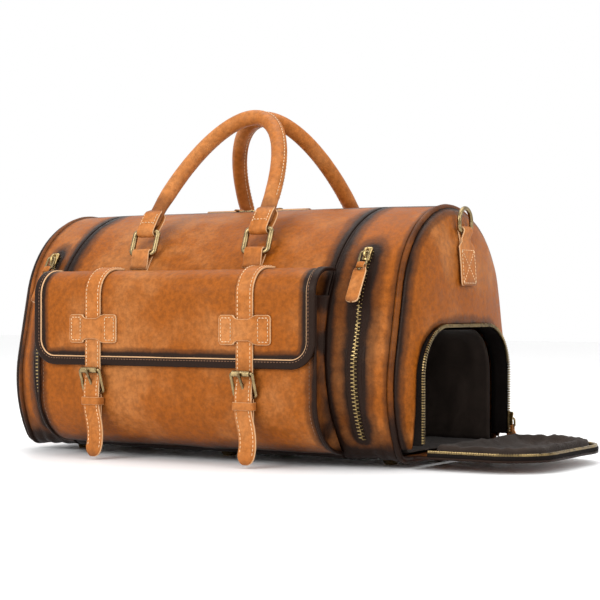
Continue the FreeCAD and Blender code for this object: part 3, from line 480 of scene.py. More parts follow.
def sweep(name, path, ups, profiles, closed=False, marks=None, wrap=True, caps=True):
    """Mesh of a profile carried along a path; ups give the direction of the profile's height."""
    points = []
    count, width = len(path), len(profiles[0])
    for i, (here, up, profile) in enumerate(zip(path, ups, profiles)):
        before = path[i - 1] if i or closed else here
        after = path[(i + 1) % count] if i < count - 1 or closed else here
        along = (after - before).normalized()
        across = along.cross(up).normalized()
        rise = across.cross(along)
        points += [here + across * a + rise * b for a, b in profile]
    faces = sheet_faces(count, width, wrap)
    if closed:
        last = (count - 1) * width
        faces += [(last + c, last + (c + 1) % width, (c + 1) % width, c) for c in range(width)]
    elif caps and wrap:
        faces.append(tuple(range(width - 1, -1, -1)))
        faces.append(tuple((count - 1) * width + c for c in range(width)))
    return make_mesh(name, points, faces, marks)


def round_profile(radius, sides=CORD_SIDES):
    """Circle of points, seen end on."""
    return [(radius * math.cos(2 * math.pi * i / sides), radius * math.sin(2 * math.pi * i / sides))
            for i in range(sides)]


def ring_of_cut(x, cut, grow, count=240):
    """Closed path round the bag at x."""
    path = []
    for i in range(count):
        share = 2 * i / count
        side = 1 if share < 1 else -1
        y, z = cut_point(cut, share if share < 1 else 2 - share, grow)
        path.append(Vector((x, side * y, z)))
    return path


PIPING_R = 3.4
for end in (-1, 1):
    path = ring_of_cut(end * END_X, END_CUT, 1.0)
    profiles = [round_profile(PIPING_R * (1 + 0.05 * noise.noise(p / 9))) for p in path]
    # The last term is painted shade on the end cords, darker towards the floor.
    shade = [0.45 + 0.35 * noise.noise(p / 40) + 0.3 * dark_edge(p.z, 90)
             for p in path for _ in range(CORD_SIDES)]
    cord = sweep(f"{end_word(end)}_end_piping", path, [ALONG] * len(path), profiles, closed=True,
                 marks={"burnish_and_shade": shade})
    finish_piece(cord, "bag", BODY_LEATHER, "dark_leather", "seam_piping")

WELT_SHAPE = [(-2.0, -1.5), (-1.8, 0.6), (-0.9, 1.5), (0.0, 1.7), (0.9, 1.5), (1.8, 0.6), (2.0, -1.5)]
for end in (-1, 1):
    for side in (-1, 1):
        path = [wall_point(end * SEAM_X, t, side, -0.3) for t in seam_stations()]
        ups = [(wall_point(end * SEAM_X, t, side, 1) - wall_point(end * SEAM_X, t, side)).normalized()
               for t in seam_stations()]
        welt = sweep(f"welt_{end_word(end)}_{face_word(side)}", path, ups, [WELT_SHAPE] * len(path),
                     marks={"burnish_and_shade": [1.0] * len(path) * len(WELT_SHAPE)})
        finish_piece(welt, "bag", BODY_LEATHER, "dark_leather", "seam_piping")


# ------------------------------------------------------------------ thread
# Thick waxed thread in short even stitches, sewn by machine along every strap and edge: cream on
# the straps, brown on the body. Each stitch dips into the leather at both ends.


def thread_finish(name, colour):
    """Twisted waxed thread, dirtier in places."""
    material, shader, add, join = shader_parts(name)
    place = add("ShaderNodeTexCoord").outputs["Object"]
    twist = add("ShaderNodeTexWave", Scale=900.0, Distortion=1.0)
    join(place, twist.inputs["Vector"])
    dirt = add("ShaderNodeTexNoise", Scale=45.0, Detail=3.0)
    join(place, dirt.inputs["Vector"])
    worn = ramp(add, join, dirt.outputs["Fac"], [(0.35, 0.0), (0.75, 1.0)])
    join(mix_colours(add, join, worn, (*colour, 1), tuple(c * 0.62 for c in colour) + (1,)),
         shader.inputs["Base Color"])
    bump = add("ShaderNodeBump", Strength=0.4, Distance=0.0002)
    join(twist.outputs["Fac"], bump.inputs["Height"])
    join(bump.outputs["Normal"], shader.inputs["Normal"])
    shader.inputs["Roughness"].default_value = 0.7
    return material


CREAM_THREAD = thread_finish("cream_thread", (0.78, 0.56, 0.34))
BROWN_THREAD = thread_finish("brown_thread", (0.20, 0.095, 0.045))


def along_path(path, distance):
    """Point, direction and index share at a distance along a path."""
    for i, (a, b) in enumerate(zip(path, path[1:])):
        length = (b - a).length
        if distance <= length or i == len(path) - 2:
            share = min(1.0, distance / max(length, 1e-9))
            return a.lerp(b, share), (b - a).normalized(), i, share
        distance -= length


def path_length(path):
    """Length of a path of points."""
    return sum((b - a).length for a, b in zip(path, path[1:]))


STITCH_RINGS = ((-0.5, -0.55, 0.5), (-0.3, 0.1, 1.0), (0.3, 0.1, 1.0), (0.5, -0.55, 0.5))
STITCH_ROUND = ((1, 0), (0.5, 0.87), (-0.5, 0.87), (-1, 0), (0, -0.9))


def sew(name, body, rows, material=CREAM_THREAD, pitch=4.6, stitch=3.1, radius=0.42):
    """Rows of stitches as one piece; each row is a path and the outward direction at its points."""
    points, faces = [], []
    for path, outs in rows:
        total = path_length(path)
        count = max(1, int(total / pitch))
        for i in range(count):
            here, along, index, share = along_path(path, (i + 0.5) * total / count)
            out = outs[index].lerp(outs[index + 1], share).normalized()
            across = along.cross(out).normalized()
            first = len(points)
            for step, lift, thick in STITCH_RINGS:
                center = here + along * (stitch * step) + out * (radius * lift)
                for a, b in STITCH_ROUND:
                    points.append(center + (across * a + out * b) * (radius * thick))
            for ring in range(3):
                faces += [(first + ring * 5 + c, first + ring * 5 + (c + 1) % 5,
                           first + ring * 5 + 5 + (c + 1) % 5, first + ring * 5 + 5 + c) for c in range(5)]
            faces += [tuple(first + c for c in (4, 3, 2, 1, 0)), tuple(first + 15 + c for c in range(5))]
    piece = make_mesh(name, points, faces)
    return finish_piece(piece, body, material, "strap_leather")


def wall_row(x, side, low_t, high_t, grow=0.35, count=90):
    """Row up the body at x, and the outward direction at each of its points."""
    stations = spread(low_t, high_t, count)
    path = [wall_point(x, t, side, grow) for t in stations]
    outs = [(wall_point(x, t, side, 1) - wall_point(x, t, side)).normalized() for t in stations]
    return path, outs


zip_t = seam_stations()[-1]
SEAM_STITCH, ZIP_STITCH = 5.0, 4.5
rows = []
for side in (-1, 1):
    for end in (-1, 1):
        for aside in (SEAM_STITCH, -SEAM_STITCH):
            rows.append(wall_row(end * (SEAM_X + aside), side, STATIONS[2], zip_t))
sew("band_seam_stitches", "bag", rows, BROWN_THREAD, radius=0.36)
rows = []
for side in (-1, 1):
    path = [wall_point(x, zip_t, side, 0.4) + Vector((0, side * ZIP_STITCH, -0.35))
            for x in spread(6 - END_X, END_X - 6, 120)]
    rows.append((path, [Vector((0, side * 0.1, 1))] * len(path)))
sew("top_zip_stitches", "bag", rows, BROWN_THREAD, radius=0.38)


# ------------------------------------------------------------------ linings
# Dark twill cloth: a loose bag lining under the zip and a sewn tunnel for the shoes, which creases
# because it hangs from the leather round the opening.


def cloth_finish(name, colour, thread_scale=1500.0, sheen=0.25):
    """Woven cloth: diagonal threads, soft folds and faded patches."""
    material, shader, add, join = shader_parts(name)
    place = add("ShaderNodeTexCoord").outputs["Object"]
    warp = add("ShaderNodeTexWave", Scale=thread_scale / 3, Distortion=0.4, bands_direction="DIAGONAL")
    join(place, warp.inputs["Vector"])
    fade = add("ShaderNodeTexNoise", Scale=22.0, Detail=5.0)
    join(place, fade.inputs["Vector"])
    tone = ramp(add, join, fade.outputs["Fac"], [(0.3, 0.0), (0.7, 1.0)])
    colour_out = mix_colours(add, join, tone, (*colour, 1), tuple(c * 1.7 for c in colour) + (1,))
    join(mix_colours(add, join, 0.35, colour_out, warp.outputs["Color"], "OVERLAY"),
         shader.inputs["Base Color"])
    folds = add("ShaderNodeTexNoise", Scale=30.0, Detail=3.0, Distortion=1.2)
    join(place, folds.inputs["Vector"])
    height = add("ShaderNodeMath", operation="MULTIPLY_ADD")
    join(warp.outputs["Fac"], height.inputs[0])
    height.inputs[1].default_value = 0.12
    join(folds.outputs["Fac"], height.inputs[2])
    bump = add("ShaderNodeBump", Strength=0.6, Distance=0.0018)
    join(height.outputs[0], bump.inputs["Height"])
    join(bump.outputs["Normal"], shader.inputs["Normal"])
    shader.inputs["Roughness"].default_value = 0.82
    shader.inputs["Specular IOR Level"].default_value = 0.07
    shader.inputs["Sheen Weight"].default_value = sheen
    return material


LINING_CLOTH = cloth_finish("dark_lining_twill", (0.020, 0.014, 0.011), sheen=0.06)
ZIP_CLOTH = cloth_finish("zip_tape_weave", (0.005, 0.0035, 0.003), 2600.0, 0.0)
TUNNEL_BACK, LINING_FLOOR, LINING_IN, FLOOR_HALF = -40.0, 17.6, -3.0, 104.5
grid = []
for x in spread(DOME_X - 1, TUNNEL_BACK, 60):
    row = []
    for y, z in arch_line(LINING_IN, LINING_FLOOR, 80):
        fold = 2.6 * noise.noise(Vector((x / 22, y / 30, z / 30)))
        hold = min(1.0, (DOME_X - x) / 15)
        row.append(Vector((x, y * (1 - 0.012 * hold) - math.copysign(abs(fold) * hold, y),
                           z - abs(fold) * hold * (z > 120))))
    grid.append(row)
floor_grid = []
for x in spread(DOME_X - 1, TUNNEL_BACK, 60):
    floor_grid.append([Vector((x, y, LINING_FLOOR + 0.8 + 0.8 * noise.noise(Vector((x, y, 0)) / 20)))
                       for y in spread(-FLOOR_HALF, FLOOR_HALF, 40)])
back_grid = []
for share in spread(1.0, 0.02, 16):
    back_grid.append([Vector((TUNNEL_BACK + 1 + 2 * noise.noise(Vector((0, y, z)) / 25), y * share,
                              LINING_FLOOR + (z - LINING_FLOOR) * share))
                      for y, z in arch_line(LINING_IN, LINING_FLOOR, 80)])


def woven_sheet(name, grid, thickness, flip=False):
    """Thin cloth over a grid of points; thickness is in millimetres."""
    faces = sheet_faces(len(grid), len(grid[0]))
    if flip:
        faces = [tuple(reversed(f)) for f in faces]
    cloth = make_mesh(name, [p for row in grid for p in row], faces)
    cloth.modifiers.new("cloth", "SOLIDIFY").thickness = thickness / 1000
    return cloth


TWILL = 0.8
for name, part_grid, flip in (("shoe_tunnel_lining", grid, True), ("shoe_tunnel_floor", floor_grid, False),
                              ("shoe_tunnel_back", back_grid, False)):
    cloth = woven_sheet(name, part_grid, TWILL, flip)
    finish_piece(cloth, "bag", LINING_CLOTH, "lining_cloth", "shoe_lining")
    if name == "shoe_tunnel_back":
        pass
    else:
        run = abs(part_grid[0][0].x - part_grid[-1][0].x) / 1000

LINING_FROM, LINING_TO = -245.0, -45.0
lining_grid = []
for x in spread(LINING_FROM, LINING_TO, 40):
    lining_grid.append([wall_point(x, t, side, -4.6 + 0.6 * noise.noise(Vector((x, 40 * t, side)) / 12))
                        for side in (-1, 1) for t in (seam_stations()[7:] if side < 0 else
                                                      seam_stations()[:6:-1])][::-1])
body_lining = woven_sheet("bag_lining", lining_grid, TWILL)
finish_piece(body_lining, "bag", LINING_CLOTH, "lining_cloth", "body_lining")


# ------------------------------------------------------------------ brass hardware
# Cast zinc fittings plated in antique brass: dark in the hollows, rubbed bright on raised edges.


def brass_finish(name, bright, dull, rough):
    """Plated metal, bright on its edges and dull in its hollows."""
    material, shader, add, join = shader_parts(name)
    place = add("ShaderNodeTexCoord").outputs["Object"]
    wear = add("ShaderNodeTexNoise", Scale=120.0, Detail=6.0, Roughness=0.7)
    join(place, wear.inputs["Vector"])
    facing = add("ShaderNodeNewGeometry")
    edge = ramp(add, join, facing.outputs["Pointiness"], [(0.47, 0.0), (0.55, 1.0)])
    worn = ramp(add, join, wear.outputs["Fac"], [(0.35, 0.15), (0.70, 1.0)])
    share = mix_colours(add, join, 0.5, worn, edge)
    join(mix_colours(add, join, share, (*dull, 1), (*bright, 1)), shader.inputs["Base Color"])
    join(ramp(add, join, wear.outputs["Fac"], [(0.3, rough - 0.08), (0.7, rough + 0.14)]),
         shader.inputs["Roughness"])
    shader.inputs["Metallic"].default_value = 1.0
    bump = add("ShaderNodeBump", Strength=0.15, Distance=0.0003)
    join(wear.outputs["Fac"], bump.inputs["Height"])
    join(bump.outputs["Normal"], shader.inputs["Normal"])
    return material


ANTIQUE_BRASS = brass_finish("antique_brass", (0.42, 0.31, 0.15), (0.045, 0.032, 0.018), 0.27)
ZIP_BRASS = brass_finish("zip_brass", (0.50, 0.36, 0.15), (0.10, 0.07, 0.035), 0.30)
CAD_BRASS = ["feet", "handle_rings_front", "handle_rings_rear", "buckle_frames", "snap_sockets",
             "snap_caps", "d_ring_left", "d_ring_right"]
for name in frame["nodes"]:
    if name in CAD_BRASS or "roller" in name or "prong" in name or "link" in name:
        plated = frame["nodes"][name]
        plated.data.materials.clear()
        plated.data.materials.append(ANTIQUE_BRASS)
base_board = frame["nodes"]["base_board"]
base_board.data.materials.clear()
base_board.data.materials.append(LINING_CLOTH)


# ------------------------------------------------------------------ handles
# Two handles rolled from one strip of leather over a cord core, sewn shut along the inner side of
# the curve. Each end is pressed flat and folded round the top bar of its brass ring.
STRAP_LEATHER = leather_finish("strap_tan", (0.34, 0.108, 0.020), (0.42, 0.165, 0.05),
                               (0.10, 0.035, 0.014), rough=0.40, grain=0.6)
joint_place = {joint["name"]: Vector(joint["pos_m"]) * 1000 - middle * 1000
               for joint in frame["joints"] if "pos_m" in joint}
RING_BAR, RING_X = 3.2, 80.0
HANDLE_R, HANDLE_REACH, TAB_HALF = 9.4, 180.0, 12.0
ring_top = joint_place["front_handle_swing"]
ring_pivot = joint_place["front_rings_swing"]
handle_lean = math.asin((-ring_top.y - HANDLE_R - 1.1) / HANDLE_REACH)
FLAT_END, ROUND_FROM, CORE_FROM = 24.0, 62.0, 26.0


def smooth_step(low, high, value):
    """Soft change from 0 at low to 1 at high."""
    share = min(1.0, max(0.0, (value - low) / (high - low)))
    return share * share * (3 - 2 * share)


def strap_profile(half, thickness, bevel=0.7, crown=0.3):
    """Flat strip seen end on, with raw cut sides; returns its points and which are cut edges."""
    low, high = -thickness / 2, thickness / 2
    points = [(-half + bevel, low), (-half * 0.5, low), (0, low), (half * 0.5, low), (half - bevel, low),
              (half, low + bevel), (half, high - bevel),
              (half - bevel, high), (half * 0.72, high + crown * 0.3), (half * 0.4, high + crown),
              (-half * 0.4, high + crown), (-half * 0.72, high + crown * 0.3), (-half + bevel, high),
              (-half, high - bevel), (-half, low + bevel)]
    return points, [0, 0, 0, 0, 0, 1, 1, 0, 0, 0, 0, 0, 0, 1, 1]


def strap_piece(name, path, ups, half, thickness, shade=0.0, halves=None, dark_ends=0.0):
    """A leather strip along a path, with cream cut sides."""
    widths = halves or [half] * len(path)
    profiles, cuts, shades = [], [], []
    total = path_length(path)
    run = 0.0
    for i, width in enumerate(widths):
        points, cut = strap_profile(width, thickness)
        profiles.append(points)
        cuts += cut
        run += (path[i] - path[i - 1]).length if i else 0.0
        shades += [max(shade, dark_ends * max(dark_edge(run, 14), dark_edge(total - run, 14)))] * len(points)
    return sweep(name, path, ups, profiles, marks={"cut_edge": cuts, "burnish_and_shade": shades})


INNER_TURN = math.pi
FLAT_THICK, HANDLE_SIDES, STEPS_ROUND = 4.0, 28, 180
RIDGE_TALL, RIDGE_WIDE, GROOVE_DEEP, GROOVE_AT, GROOVE_WIDE = 1.3, 0.16, 0.5, 0.42, 0.14


def seam_ridge(turn, roll):
    """Height of the sewn ridge, with a groove each side, where the rolled edges of a handle meet."""
    inner = math.atan2(math.sin(turn - INNER_TURN), math.cos(turn - INNER_TURN))
    groove = GROOVE_DEEP * roll * math.exp(-((abs(inner) - GROOVE_AT) / GROOVE_WIDE) ** 2)
    return RIDGE_TALL * roll * math.exp(-(inner / RIDGE_WIDE) ** 2) - groove


def handle(side):
    """Rolled grip, its cord, the stitches along it and the folds round both rings."""
    word = face_word(side)
    up = Vector((0, -side * math.sin(handle_lean), math.cos(handle_lean)))
    foot = Vector((0, side * -ring_top.y, ring_top.z))
    normal = up.cross(Vector((1, 0, 0))) * side
    path, profiles, shades, rows = [], [], [], [([], []), ([], [])]
    for i in range(STEPS_ROUND + 1):
        turn = math.pi * i / STEPS_ROUND
        rise = HANDLE_REACH * math.sin(turn)
        here = foot + Vector((-RING_X * math.cos(turn), 0, 0)) + up * rise
        if rise < 8:
            continue
        path.append(here)
    for here in path:
        rise = (here - foot).dot(up)
        roll = smooth_step(FLAT_END, ROUND_FROM, rise)
        wide = TAB_HALF - 1 + (HANDLE_R - TAB_HALF + 1) * roll
        thick = FLAT_THICK + (HANDLE_R - FLAT_THICK) * roll
        wobble = 1 + 0.012 * noise.noise(here / 14)
        profile = []
        for k in range(HANDLE_SIDES):
            turn = 2 * math.pi * k / HANDLE_SIDES
            ridge = seam_ridge(turn, roll)
            profile.append(((wide * wobble + ridge) * math.cos(turn),
                            (thick * wobble + ridge) * math.sin(turn)))
        profiles.append(profile)
        shades += [0.35 * (1 - roll) + 0.25 * max(0.0, noise.noise(here / 30))] * HANDLE_SIDES
    piece = sweep(f"handle_{word}_rolled", path, [normal] * len(path), profiles, marks={"burnish_and_shade": shades})
    finish_piece(piece, f"{word}_handle", STRAP_LEATHER, "strap_leather", f"handle_{word}")
    corded = [p for p in path if (p - foot).dot(up) > CORE_FROM]
    thin = [round_profile(2.4 + 3.6 * smooth_step(FLAT_END, ROUND_FROM, (p - foot).dot(up))) for p in corded]
    core = sweep(f"handle_{word}_cord", corded, [normal] * len(corded), thin)
    finish_piece(core, f"{word}_handle", CREAM_THREAD, "core_cord", f"handle_core_{word}")
    for i in range(4, len(path) - 4):
        along = (path[i + 1] - path[i - 1]).normalized()
        across = along.cross(normal).normalized() * math.cos(INNER_TURN)
        for k, lift in enumerate((-3.6, 3.6)):
            spot = across * math.sqrt(HANDLE_R ** 2 - lift ** 2) + normal * lift
            roll = smooth_step(FLAT_END, ROUND_FROM, (path[i] - foot).dot(up))
            if roll > 0.6:
                rows[k][0].append(path[i] + spot * (1 + 0.01 * roll))
                rows[k][1].append(spot.normalized())
    sew(f"handle_{word}_seam_stitches", f"{word}_handle", rows, pitch=5.2, stitch=3.4)
    for end in (-1, 1):
        handle_fold(word, end, foot + Vector((end * RING_X, 0, 0)), up, normal)


def run_at(path, i):
    """Direction in which a path runs at its point i."""
    return (path[min(i + 1, len(path) - 1)] - path[max(i - 1, 0)]).normalized()


def u_turn(center, out, away, radius, spread_out, reach, back_reach, count=12):
    """Path that comes in along away, turns round a bar and goes back; out is the first side."""
    path = [center + out * spread_out * lift + away * reach * s
            for s, lift in ((1.0, 0.35), (0.85, 0.8), (0.7, 1.0), (0.45, 1.0))]
    path += [center + out * (radius + 0.5) + away * 6]
    for i in range(count + 1):
        turn = math.pi * i / count
        path.append(center + out * (radius * math.cos(turn)) - away * (radius * math.sin(turn)))
    path += [center - out * (radius + 0.5) + away * 6]
    path += [center - out * spread_out * lift + away * back_reach * s
             for s, lift in ((0.45, 1.0), (0.7, 1.0), (0.85, 0.8), (1.0, 0.35))]
    return path


def outward(path, center):
    """Directions square to a path in its own plane, pointing away from its middle."""
    outs = []
    plane = (path[0] - center).cross(path[len(path) // 2] - center).normalized()
    for i in range(len(path)):
        outs.append(run_at(path, i).cross(plane).normalized())
    if (path[len(path) // 2] - center).dot(outs[len(path) // 2]) < 0:
        outs = [-out for out in outs]
    return outs


def offset_row(path, outs, aside, lift):
    """A row beside the middle of a strap, on its outer face."""
    row = []
    for i, (here, out) in enumerate(zip(path, outs)):
        row.append(here + run_at(path, i).cross(out).normalized() * aside + out * lift)
    return row, outs


FOLD_OUT, FOLD_LONG, FOLD_LIFT, FOLD_STITCH = 5.8, 32.0, 1.75, 9.4


def handle_fold(word, end, bar, up, normal):
    """Strap end folded round a ring's top bar and sewn to the handle with three rows."""
    path = u_turn(bar, normal, up, RING_BAR + 1.6, FOLD_OUT, FOLD_LONG, FOLD_LONG)
    outs = outward(path, bar + up * 12)
    halves = [TAB_HALF * (0.55 + 0.45 * smooth_step(36, 26, (p - bar).dot(up))) for p in path]
    fold = strap_piece(f"handle_{word}_{end_word(end)}_fold", path, outs, TAB_HALF, 2.5, halves=halves,
                       dark_ends=0.5)
    finish_piece(fold, f"{word}_handle", STRAP_LEATHER, "strap_leather")
    rows = []
    for aside in (-FOLD_STITCH, FOLD_STITCH):
        near = [i for i, p in enumerate(path) if 4 < (p - bar).dot(up) < 26]
        for group in (near[:len(near) // 2], near[len(near) // 2:]):
            line = [path[i] for i in group]
            face = [outs[i] for i in group]
            rows.append(offset_row(line, face, aside, FOLD_LIFT))
    for sign in (-1, 1):
        spot = bar + up * 9 + normal * sign * (FOLD_OUT + FOLD_LIFT)
        line = [spot + Vector((x, 0, 0)) for x in spread(-9, 9, 6)]
        rows.append((line, [normal * sign] * 6))
    sew(f"handle_{word}_{end_word(end)}_fold_stitches", f"{word}_handle", rows, pitch=3.9, stitch=2.7)


handle(-1)
handle(1)

# ------------------------------------------------------------------ handle tabs
# Leather strips that hold the rings: doubled round the lower bar, then sewn down the body with two
# rows of cream thread. The front pair run down behind the pocket.
UP_MIDDLE = Vector((0, 0, MIDDLE_CUT[3]))
TAB_LOW, TAB_TURN = 162.9, math.radians(50)
TAB_STITCH, TAB_STITCH_LIFT, TAB_TIP = 9.3, 2.0, 9.0


def round_body(side, degrees, reach):
    """Point round the barrel's upper half, in degrees down from its top."""
    turn = math.radians(degrees)
    return UP_MIDDLE + Vector((0, side * reach * math.sin(turn), reach * math.cos(turn)))


def handle_tab(side, end):
    """Strip that comes up the body, turns round the ring's lower bar and tucks in beneath itself."""
    pivot = Vector((0, side * -ring_pivot.y, ring_pivot.z))
    out = Vector((0, side * math.sin(TAB_TURN), math.cos(TAB_TURN)))
    top = Vector((0, -side * math.cos(TAB_TURN), math.sin(TAB_TURN)))
    path = [round_body(side, a, TAB_LOW) for a in spread(84, 58, 18)]
    path.append(round_body(side, 54.5, TAB_LOW + 0.6))
    radius = RING_BAR + 1.6
    for i in range(13):
        turn = math.pi * i / 12
        path.append(pivot - out * (radius * math.cos(turn)) + top * (radius * math.sin(turn)))
    path += [round_body(side, 53, TAB_LOW + 6.6), round_body(side, 55, TAB_LOW + 3.6),
             round_body(side, 56.8, TAB_LOW + 3.0)]
    path = [p + Vector((end * RING_X, 0, 0)) for p in path]
    outs = []
    for i in range(len(path)):
        outs.append(run_at(path, i).cross(Vector((side, 0, 0))).normalized())
    run, halves = 0.0, []
    for i, here in enumerate(path):
        run += (here - path[i - 1]).length if i else 0.0
        halves.append(TAB_HALF * math.sqrt(max(0.03, 1 - max(0.0, 1 - run / TAB_TIP) ** 2)))
    word = f"{face_word(side)}_{end_word(end)}"
    tab = strap_piece(f"handle_tab_{word}", path, outs, TAB_HALF, 2.8, halves=halves, dark_ends=0.3)
    finish_piece(tab, "bag", STRAP_LEATHER, "strap_leather", "handle_tabs")
    rows = [offset_row([p + Vector((end * RING_X, 0, 0)) for p in
                        [round_body(side, a, TAB_LOW) for a in spread(82, 58.5, 16)]],
                       [round_body(side, a, 1) - UP_MIDDLE for a in spread(82, 58.5, 16)], aside,
                       TAB_STITCH_LIFT) for aside in (-TAB_STITCH, TAB_STITCH)]
    rows += [([round_body(side, a, TAB_LOW + TAB_STITCH_LIFT) + Vector((end * RING_X + x, 0, 0))
               for x in spread(-9, 9, 5)],
              [round_body(side, a, 1) - UP_MIDDLE] * 5) for a in (81.5, 59.5)]
    sew(f"handle_tab_{word}_stitches", "bag", rows)


for side in (-1, 1):
    for end in (-1, 1):
        handle_tab(side, end)

# ------------------------------------------------------------------ front pocket
# A box pocket of the body's leather: the face is turned under at the foot, and a folded gusset
# joins each side to the body. A thin rolled edge runs down each corner.
POCKET_HALF, POCKET_Y, POCKET_TOP, POCKET_ROUND, POCKET_FOOT = 193.0, -185.0, 190.0, 60.0, 15.0


def pocket_line(s):
    """Point (y, z) of the pocket's front from its mouth (s 0) down and under to the foot (s 1)."""
    straight = POCKET_TOP - POCKET_FOOT - POCKET_ROUND
    total = straight + POCKET_ROUND * math.pi / 2
    run = s * total
    if run < straight:
        return POCKET_Y, POCKET_TOP - run
    turn = (run - straight) / POCKET_ROUND
    return (POCKET_Y + POCKET_ROUND * (1 - math.cos(turn)),
            POCKET_FOOT + POCKET_ROUND * (1 - math.sin(turn)))


FLAP_LOW, POCKET_RUB, FOOT_RUB, EDGE_ROLL, ROLL_SIDES = 110.0, 20.0, 55.0, 1.9, 10
grid, shades = [], []
for s in spread(0.0, 1.0, 64):
    row, shade = [], []
    y, z = pocket_line(s)
    y2, z2 = pocket_line(min(1.0, s + 0.01))
    y1, z1 = pocket_line(min(0.99, s))
    out = Vector((0, z2 - z1, y2 - y1)).normalized()
    for x in spread(-POCKET_HALF, POCKET_HALF, 120):
        edge = POCKET_HALF - abs(x)
        hold = min(1.0, edge / 35) * min(1.0, s * 6)
        roll = 2.2 * dark_edge(edge, 9)
        point = Vector((x, y, z))
        sag = 1.2 * math.sin(math.pi * s) * hold
        row.append(point + Vector((0, roll, 0)) + out * ((slack(point, 2.0) * 0.6 + sag - 0.8) * hold))
        near_foot = dark_edge((1 - s) * 210, FOOT_RUB)
        # The third term is painted shadow: a faint dark band just below the flap's lower edge.
        shade.append(max(0.85 * dark_edge(edge, POCKET_RUB), 0.95 * near_foot,
                         0.05 * dark_edge(abs(z - FLAP_LOW) - 2, 18)))
    grid.append(row)
    shades.append(shade)
pocket = leather_sheet("pocket_face_leather", grid, shades, flip=True)
finish_piece(pocket, "bag", BODY_LEATHER, "body_leather", "front_pocket_face")

for end in (-1, 1):
    grid, shades, edge_path = [], [], []
    for s in spread(0.0, 0.985, 50):
        y, z = pocket_line(s)
        wall = wall_height(POCKET_HALF, z, -1, 1.6)
        row, shade = [], []
        for share in spread(0.0, 1.0, 10):
            fold = 5.0 * math.sin(math.pi * share) * min(1.0, (wall.y - y) / 25)
            crease = 1.2 * noise.noise(Vector((share * 3, y, z)) / 20)
            spot = Vector((end * (POCKET_HALF - 0.8 - fold + crease), (y + 2) + (wall.y - y - 2) * share, z))
            row.append(spot)
            shade.append(0.55 + 0.4 * noise.noise(spot / 30))
        grid.append(row)
        shades.append(shade)
        edge_path.append(Vector((end * (POCKET_HALF - 0.3), y + 0.8, z)))
    word = end_word(end)
    gusset = leather_sheet(f"pocket_gusset_{word}", grid, shades, 1.8, flip=end > 0)
    finish_piece(gusset, "bag", BODY_LEATHER, "body_leather", "front_pocket_sides")
    roll = sweep(f"pocket_edge_roll_{word}", edge_path, [ALONG] * len(edge_path),
                 [round_profile(EDGE_ROLL, ROLL_SIDES)] * len(edge_path),
                 marks={"burnish_and_shade": [0.75] * ROLL_SIDES * len(edge_path)})
    finish_piece(roll, "bag", BODY_LEATHER, "body_leather")
    sew(f"pocket_edge_stitches_{word}", "bag",
        [([p + Vector((-end * 7, -0.6, 0)) for p in edge_path[:38]], [FORWARD] * 38)],
        BROWN_THREAD, radius=0.36)

# ------------------------------------------------------------------ pocket flap
# The flap is one sheet sewn to the body, bent softly over the pocket's top edge. A dark strip is
# folded round its three free edges and sewn on, and its cut inner edge shows as a pale line.
FLAP_THICK, FLAP_BEND, FLAP_CORNER, FLAP_HALF = 3.0, 29.0, 30.0, 195.0
hinge = joint_place["flap_lift"]
FLAP_TOP, FLAP_FRONT = hinge.z + FLAP_THICK / 2, POCKET_Y - 1.5 - FLAP_THICK
bend_y, bend_z = FLAP_FRONT + FLAP_BEND, FLAP_TOP - FLAP_BEND
flap_top_run = hinge.y - bend_y
flap_arc = FLAP_BEND * math.pi / 2
FLAP_RUN = flap_top_run + flap_arc + bend_z - FLAP_LOW


def flap_point(run, x, lift=0.0):
    """Point on the flap's outer face, a distance down from the hinge line."""
    if run < flap_top_run:
        return Vector((x, hinge.y - run, FLAP_TOP + lift)), UPWARD
    if run < flap_top_run + flap_arc:
        turn = (run - flap_top_run) / FLAP_BEND
        out = Vector((0, -math.sin(turn), math.cos(turn)))
        return Vector((x, bend_y, bend_z)) + out * (FLAP_BEND + lift), out
    return Vector((x, FLAP_FRONT - lift, bend_z - (run - flap_top_run - flap_arc))), FORWARD


def flap_half(run):
    """Half width of the flap at a distance from the hinge, less at its rounded corners."""
    rest = FLAP_CORNER - (FLAP_RUN - run)
    if rest <= 0:
        return FLAP_HALF
    return FLAP_HALF - FLAP_CORNER + math.sqrt(max(0.0, FLAP_CORNER ** 2 - rest ** 2))


BINDING, BINDING_STITCH, WORN_BEND = 10.5, 3.4, 10.0
STRAP_X, STRAP_HALF, STRAP_THICK = 106.0, 11.0, 3.2
corner_runs = [FLAP_RUN - FLAP_CORNER * (1 - math.sin(a)) for a in spread(0.05, math.pi / 2, 14)]
flap_runs = spread(0.0, FLAP_RUN - FLAP_CORNER, 40) + corner_runs
grid, shades = [], []
for run in flap_runs:
    row, shade = [], []
    half = flap_half(run)
    for x in spread(-half, half, 130):
        point, out = flap_point(run, x)
        free = min(1.0, max(0.0, abs(abs(x) - STRAP_X) - 14) / 25, (half - abs(x)) / 30, run / 15)
        row.append(point + out * (slack(point, 2.4) * 0.7 * free - 0.15))
        edge = min(half - abs(x), FLAP_RUN - run)
        strap_shade = 0.35 * dark_edge(abs(abs(x) - STRAP_X) - 11, 7)
        worn = dark_edge(abs(run - flap_top_run - flap_arc * 0.4), WORN_BEND)
        shade.append(max(dark_edge(edge - 11, 13), strap_shade, 0.8 * dark_edge(run, 9),
                         0.5 * worn * max(0.0, noise.noise(point / 25))))
    grid.append(row)
    shades.append(shade)
flap = leather_sheet("flap_leather", grid, shades, 2.8, flip=True)
finish_piece(flap, "flap", BODY_LEATHER, "body_leather", "pocket_flap")

edge_line = [(-flap_half(r), r) for r in flap_runs if r > 4]
edge_line += [(x, FLAP_RUN) for x in spread(-FLAP_HALF + FLAP_CORNER + 6, FLAP_HALF - FLAP_CORNER - 6, 90)]
edge_line += [(flap_half(r), r) for r in reversed(flap_runs) if r > 4]


